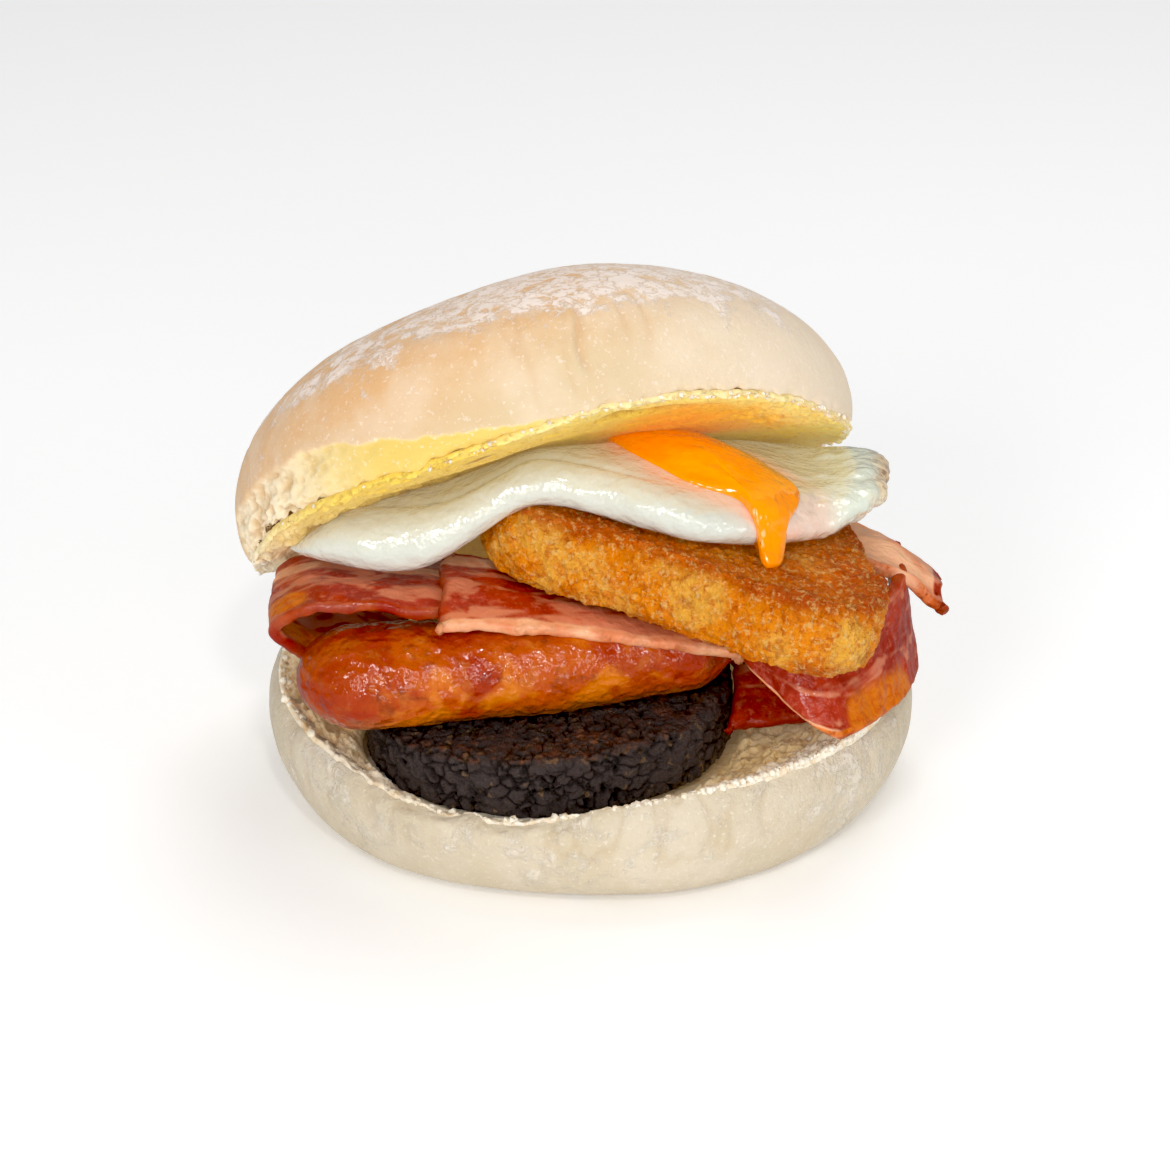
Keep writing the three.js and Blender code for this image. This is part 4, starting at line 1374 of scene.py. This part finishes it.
def flapSurface(u, v):
    p = smoothPath(flapLine, u)
    p[..., 1] = -2 - 4 * u + (v - 0.45) * between(24, 15, u)
    p[..., 2] += 0.8 * np.sin(v * 9 + u * 4) * u
    return p


def lowSurface(u, v):
    height = 22 + 12 * np.minimum(1, 1.3 * v)**0.7 * (1 - 0.6 * u) + 1.5 * u
    y = between(-32, 2, v) + 5 * u
    beside = pudding["centre"][0] + np.sqrt(
        pudding["radius"] ** 2 - np.minimum(30, y - pudding["centre"][1]) ** 2
    )
    left = between(beside - 0.5, 22.5, ease(v, 0.4, 0.6))
    return np.stack([between(left, 50, u), y, height], axis=-1)


def makeBacon():
    # each band of fat has its start and end along the rasher, then its middle and width in millimetres
    material = makeBaconMaterial()
    looks = [
        (
            "left_rasher", "bacon_left", leftSurface,
            {
                "rows": 330, "columns": 104, "seed": 71, "ruffle": 0.9, "crisp": 0.4, "lean": -0.05,
                "fat": [(0, 0.4, 15, 2), (0.6, 1, 20, 3)], "amber": [(0.62, 1, 4, 3)],
            },
        ),
        (
            "middle_rasher", "bacon_middle", middleSurface,
            {
                "rows": 240, "columns": 104, "seed": 81, "ruffle": 0.6, "crisp": 0.5, "lean": -0.05,
                "fat": [(0, 1, 0.8, 1.8), (0, 1, 22, 3)],
            },
        ),
        (
            "right_rasher", "bacon_right", rightSurface,
            {
                "rows": 280, "columns": 100, "seed": 91, "ruffle": 0.9, "crisp": 0.7, "lean": 0.15,
                "fat": [(0, 0.26, 1.2, 1.8)], "amber": [(0.38, 0.6, 2, 6), (0.1, 0.3, 1.0, 0.8)],
            },
        ),
        (
            "rasher_end", "bacon_flap", flapSurface,
            {
                "rows": 170, "columns": 100, "seed": 101, "ruffle": 0.9, "crisp": 1.0, "lean": 0.1,
                "fat": [(0, 0.85, 10, 18)],
            },
        ),
        (
            "low_rasher", "bacon_low", lowSurface,
            {"rows": 110, "columns": 110, "seed": 111, "ruffle": 0.3, "crisp": 0.1, "lean": 0.25},
        ),
    ]
    for name, node, surface, look in looks:
        makeRasher(name, node, surface, look, material)


def makeWhiteMaterial():
    # Set egg white: smooth, wet and slightly see-through, browned and lacy where it met the hot pan.
    # the faint ivory glow below is painted light, lifting the white where the crown shades it
    material, tree, shader, place = startMaterial("fried egg white", {
        "Specular IOR Level": 0.5, "Coat Weight": 1.0, "Coat Roughness": 0.02,
        "Emission Color": srgb("#f2f2e2"), "Emission Strength": 0.14,
    }, soft=(0.45, 4, (1.0, 0.98, 0.88)))
    lace = patches(tree, place, 1.8, 0.5, 0.62, 5, 0.7)
    colour = paint(tree, "#c8ccc3", [
        ("#d2dccb", "clear", 0.6),
        ("#f7a888", "pink"),
        ("#dba85c", "crisp", 0.7),
        ("#7a3d12", "crisp", lace, 0.85),
    ])
    ripple = addNode(
        tree, "ShaderNodeTexNoise", inputs={"Vector": place, "Scale": 1000 / 4.0, "Detail": 3.0},
    )
    shine = addNode(
        tree, "ShaderNodeMapRange", inputs={"Value": stored(tree, "crisp"), "To Min": 0.2, "To Max": 0.5},
    )
    normal = relief(tree, [(ripple, 1.0)])
    connect(tree, shader, Base_Color=colour, Roughness=shine, Normal=normal, Coat_Normal=normal)
    return material


def makeEggWhite():
    white = {"columns": 460, "front": -70, "crowding": 0.45, "topRows": 86, "edgeRows": 46}
    angles = anglesRound(white)
    edge = egg["edge"]
    top = np.linspace(0, 1, white["topRows"]) ** 0.8 * (1 - edge)
    side = np.radians(np.linspace(90, -90, white["edgeRows"]))[1:]
    shares = np.concatenate([top, 1 - edge + edge * np.cos(side), [0.7, 0.4, 0]])
    levels = np.concatenate([[1] * len(top), np.sin(side), [-1] * 3])
    reach = eggOutline(angles)
    x, y = polar(angles[None, :], shares[:, None] * reach[None, :])
    x, y = x + egg["centre"][0], y + egg["centre"][1]
    high = eggTop(x, y)
    low = np.minimum(eggBottom(x, y), high - 2.5)
    z = between(low, high, (levels[:, None] + 1) / 2)
    mesh, flat = ringMesh("fried_white", np.stack([x, y, z], axis=-1))
    x, y, z = flat.T
    share = eggShare(x, y)
    right = ease(x, 36, 46)
    shifted = flat + 1.5 * lumps(flat, 4, 2, 128)[:, None]
    first, _, number = grains(shifted * [1, 1, 0.4], 5.5, 121)
    bubbles = ease(number, 0.4, 0.6) * np.maximum(0, 1 - (first / 0.42) ** 2)
    groove = bump(
        share - 0.74 - 0.05 * lumps(flat, 14, 2, 122), 0.035,
    ) * ease(-y, 5, 16) * ease(-x, -16, -4)
    frill = bump(share - 1, 0.08) * (right * lumps(flat, 2.5, 2, 124) + 0.7 * lumps(flat, 5, 2, 129))
    bearing = angleOf(x - egg["centre"][0], y - egg["centre"][1])
    along = np.stack([bearing / 6 + 0.6 * lumps(flat, 12, 2, 130), 2.5 * share, 0 * share], axis=-1)
    pleats = lumps(along, 1.0, 2, 131) * ease(share, 0.35, 0.8) * (
        0.35 + 0.65 * ease(-x, 0, 22)
    ) * (1 - right)
    swollen = 0.45 * lumps(flat, 11, 3, 123) + 0.7 * right * bubbles - 0.4 * groove
    moveSkin(mesh, swollen + 0.6 * frill + 0.16 * pleats - 0.2)
    crisp = ease(x + 3 * lumps(flat, 6, 3, 125), 51, 56) * ease(
        share + 0.05 * lumps(flat, 4, 3, 126), 0.88, 1.0,
    )
    fromYolk = np.stack([x - yolk["centre"][0], y - yolk["centre"][1]])
    yolkShare = np.hypot(*fromYolk) / yolkOutline(angleOf(fromYolk[0], fromYolk[1]))
    film = bump(yolkShare - 1.1, 0.22) * ease(lumps(flat, 8, 2, 127), -0.9, 0.5)
    store(mesh, crisp=crisp, clear=right, pink=0.65 * film)
    return showPiece(mesh, makeWhiteMaterial(), "egg_white", "egg_white")


yolk = {
    "centre": (19.8, -15.0),
    "halfLength": 19.0,
    "halfWidth": 11.5,
    "facing": -36.0,
    "dripFacing": -60.0,
    "dripReach": 26.5,
    "dripSide": 15.0,
    "dripHalfWidth": 1.4,
    "dripRoot": 5.0,
    "height": 2.6,
}


def yolkOutline(angle):
    off = np.radians(angle - yolk["facing"])
    pool = 1 / np.hypot(np.cos(off) / yolk["halfLength"], np.sin(off) / yolk["halfWidth"])
    aside = np.maximum(0.05, -np.sin(np.radians(turnTo(yolk["dripFacing"], angle))))
    right = yolk["dripSide"] / np.maximum(0.05, np.cos(np.radians(angle)))
    drip = softMin(softMin(yolk["dripReach"], right, 3), yolk["dripHalfWidth"] / aside, 3)
    near = ease(90 - np.abs(turnTo(yolk["dripFacing"], angle)), 20, 50)
    return between(pool, softMax(pool, drip, yolk["dripRoot"]), near)


def makeYolkMaterial():
    # Runny yolk: a deep orange liquid under a tight wet film.
    # the faint orange glow below is painted light, brightening the yolk in the crown's shade
    material, tree, shader, place = startMaterial("runny egg yolk", {
        "Roughness": 0.12, "Specular IOR Level": 0.5, "Coat Weight": 1.0, "Coat Roughness": 0.05,
        "Emission Color": srgb("#ff8c00"), "Emission Strength": 0.15,
    }, soft=(0.15, 2, (1.0, 0.45, 0.05)))
    pale = patches(tree, place, 9, 0.45, 0.7, 2)
    colour = paint(tree, "#ffa008", [("#ffba20", pale, 0.5), ("#ff8800", "rim", 0.4)])
    ripple = addNode(
        tree, "ShaderNodeTexNoise", inputs={"Vector": place, "Scale": 1000 / 4.0, "Detail": 2.0},
    )
    normal = relief(tree, [(ripple, 0.7)])
    connect(tree, shader, Base_Color=colour, Normal=normal, Coat_Normal=normal)
    return material


def makeYolk():
    pool = {
        "columns": 300, "front": yolk["dripFacing"], "crowding": 0.66,
        "rows": 60, "edgeRows": 12, "edge": 0.04,
    }
    angles = anglesRound(pool)
    top = np.linspace(0, 1, pool["rows"]) ** 0.8 * (1 - pool["edge"])
    side = np.radians(np.linspace(70, -90, pool["edgeRows"]))
    shares = np.concatenate([top, 1 - pool["edge"] + pool["edge"] * np.cos(side), [0.6, 0]])
    reach = yolkOutline(angles)
    x, y = polar(angles[None, :], shares[:, None] * reach[None, :])
    x, y = x + yolk["centre"][0], y + yolk["centre"][1]
    share = eggShare(x, y)
    lip = np.clip((share - (1 - egg["edge"])) / egg["edge"], 0, 1)
    over = ease(share, 0.97, 1.05)
    surface = between(eggBottom(x, y), eggTop(x, y), 0.5 + 0.5 * np.sqrt(1 - np.minimum(lip, 0.999) ** 2))
    surface = between(surface, faceLevel(hashBrown, x, y, 1) + 0.6, over)
    level = np.concatenate([np.ones(len(top)), np.sin(side), [-1, -1]])[:, None]
    plump = bump(turnTo(yolk["dripFacing"], angles), 24)[None, :] * ease(shares, 0.5, 0.8)[:, None]
    dome = yolk["height"] * np.maximum(
        0, 1 - np.minimum(shares, 1) ** 2,
    )[:, None] ** between(0.95, 0.5, plump) + 0.35 + 0.4 * plump
    z = surface + np.where(level > 0, dome * level, 1.2 * level)
    mesh, _ = ringMesh("runny_yolk", np.stack([x, y, z], axis=-1))
    rim = eachPoint(ease(shares, 0.75, 1), pool["columns"])
    store(mesh, rim=rim)
    return showPiece(mesh, makeYolkMaterial(), "yolk", "yolk")


def makeStudio():
    studio = {
        "elevation": 24.0, "distance": 650.0, "lens": 104.8, "target": (-0.95, 0.0, 38.4), "air": 0.45,
        "reflectedAir": 0.12,
    }
    low = math.radians(studio["elevation"])
    target = Vector(studio["target"]) / 1000
    away = Vector((0, -math.cos(low), math.sin(low))) * studio["distance"] / 1000
    lens = bpy.data.cameras.new("camera")
    lens.lens = studio["lens"]
    lens.sensor_width = 36
    lens.clip_start = 0.01
    camera = bpy.data.objects.new("camera", lens)
    camera.location = target + away
    camera.rotation_euler = (-away).to_track_quat("-Z", "Y").to_euler()
    bpy.context.scene.collection.objects.link(camera)
    bpy.context.scene.camera = camera

    floorMesh = bpy.data.meshes.new("floor")
    reach = 3.0
    floorMesh.from_pydata(
        [(-reach, -reach, 0), (reach, -reach, 0), (reach, reach, 0), (-reach, reach, 0)], [],
        [(0, 1, 2, 3)],
    )
    floor = bpy.data.objects.new("floor", floorMesh)
    bpy.context.scene.collection.objects.link(floor)
    # white board lit a little from behind, so that its shadows stay pale; it is greyer in reflections
    board, tree, shader, _ = startMaterial("white studio board", {
        "Roughness": 0.6, "Specular IOR Level": 0.2,
        "Emission Color": srgb("#ffffff"), "Emission Strength": 0.14,
    })
    ray = addNode(tree, "ShaderNodeLightPath")
    connect(tree, shader, Base_Color=paint(tree, "#fdfdfd", [("#808080", ray.outputs["Is Glossy Ray"])]))
    floorMesh.materials.append(board)

    # the air lights evenly, but is dimmer in reflections, so that wet and dark things keep their depth
    world = bpy.data.worlds.new("studio air")
    world.use_nodes = True
    tree = world.node_tree
    tree.nodes.clear()
    ray = addNode(tree, "ShaderNodeLightPath")
    strength = addNode(tree, "ShaderNodeMapRange", inputs={
        "Value": ray.outputs["Is Glossy Ray"], "To Min": studio["air"], "To Max": studio["reflectedAir"],
    })
    air = addNode(tree, "ShaderNodeBackground", inputs={"Color": (1, 1, 1, 1), "Strength": strength})
    addNode(tree, "ShaderNodeOutputWorld", inputs={"Surface": air})
    bpy.context.scene.world = world

    lights = [
        {"name": "key", "at": (-0.45, -1.15, 0.6), "size": 0.35, "power": 5.2},
        {"name": "front", "at": (0.15, -1.25, 0.32), "size": 0.5, "power": 2.8},
        {"name": "spark", "at": (0.1, -0.9, 0.85), "size": 0.07, "power": 1.8},
        {"name": "top", "at": (0.15, 0.3, 1.15), "size": 0.6, "power": 3.6},
        {"name": "fill", "at": (0.95, -0.8, 0.45), "size": 0.5, "power": 2.2},
    ]
    for lamp in lights:
        light = bpy.data.lights.new(lamp["name"], "AREA")
        light.size = lamp["size"]
        light.energy = lamp["power"]
        holder = bpy.data.objects.new(lamp["name"], light)
        holder.location = lamp["at"]
        holder.rotation_euler = (target - Vector(lamp["at"])).to_track_quat("-Z", "Y").to_euler()
        bpy.context.scene.collection.objects.link(holder)
    view = bpy.context.scene.view_settings
    view.view_transform = "Standard"
    # deep blacks, as a printed photograph has
    view.use_curve_mapping = True
    view.curve_mapping.black_level = (0.012,) * 3
    view.curve_mapping.update()
    print("studio ready")


makeStudio()
crownCrumbMaterial = makeCrumbMaterial("buttered crumb", "#f0c63c")
heelCrumbMaterial = makeCrumbMaterial("open white crumb", "#d8b069")
makeHeel()
makeHeelCrumb(heelCrumbMaterial)
makeCrown()
makeCrownCrumb(crownCrumbMaterial)
makeCrumbs(crownCrumbMaterial, heelCrumbMaterial)
makePudding()
makeSausage()
makeHashBrown()
makeBacon()
makeEggWhite()
makeYolk()
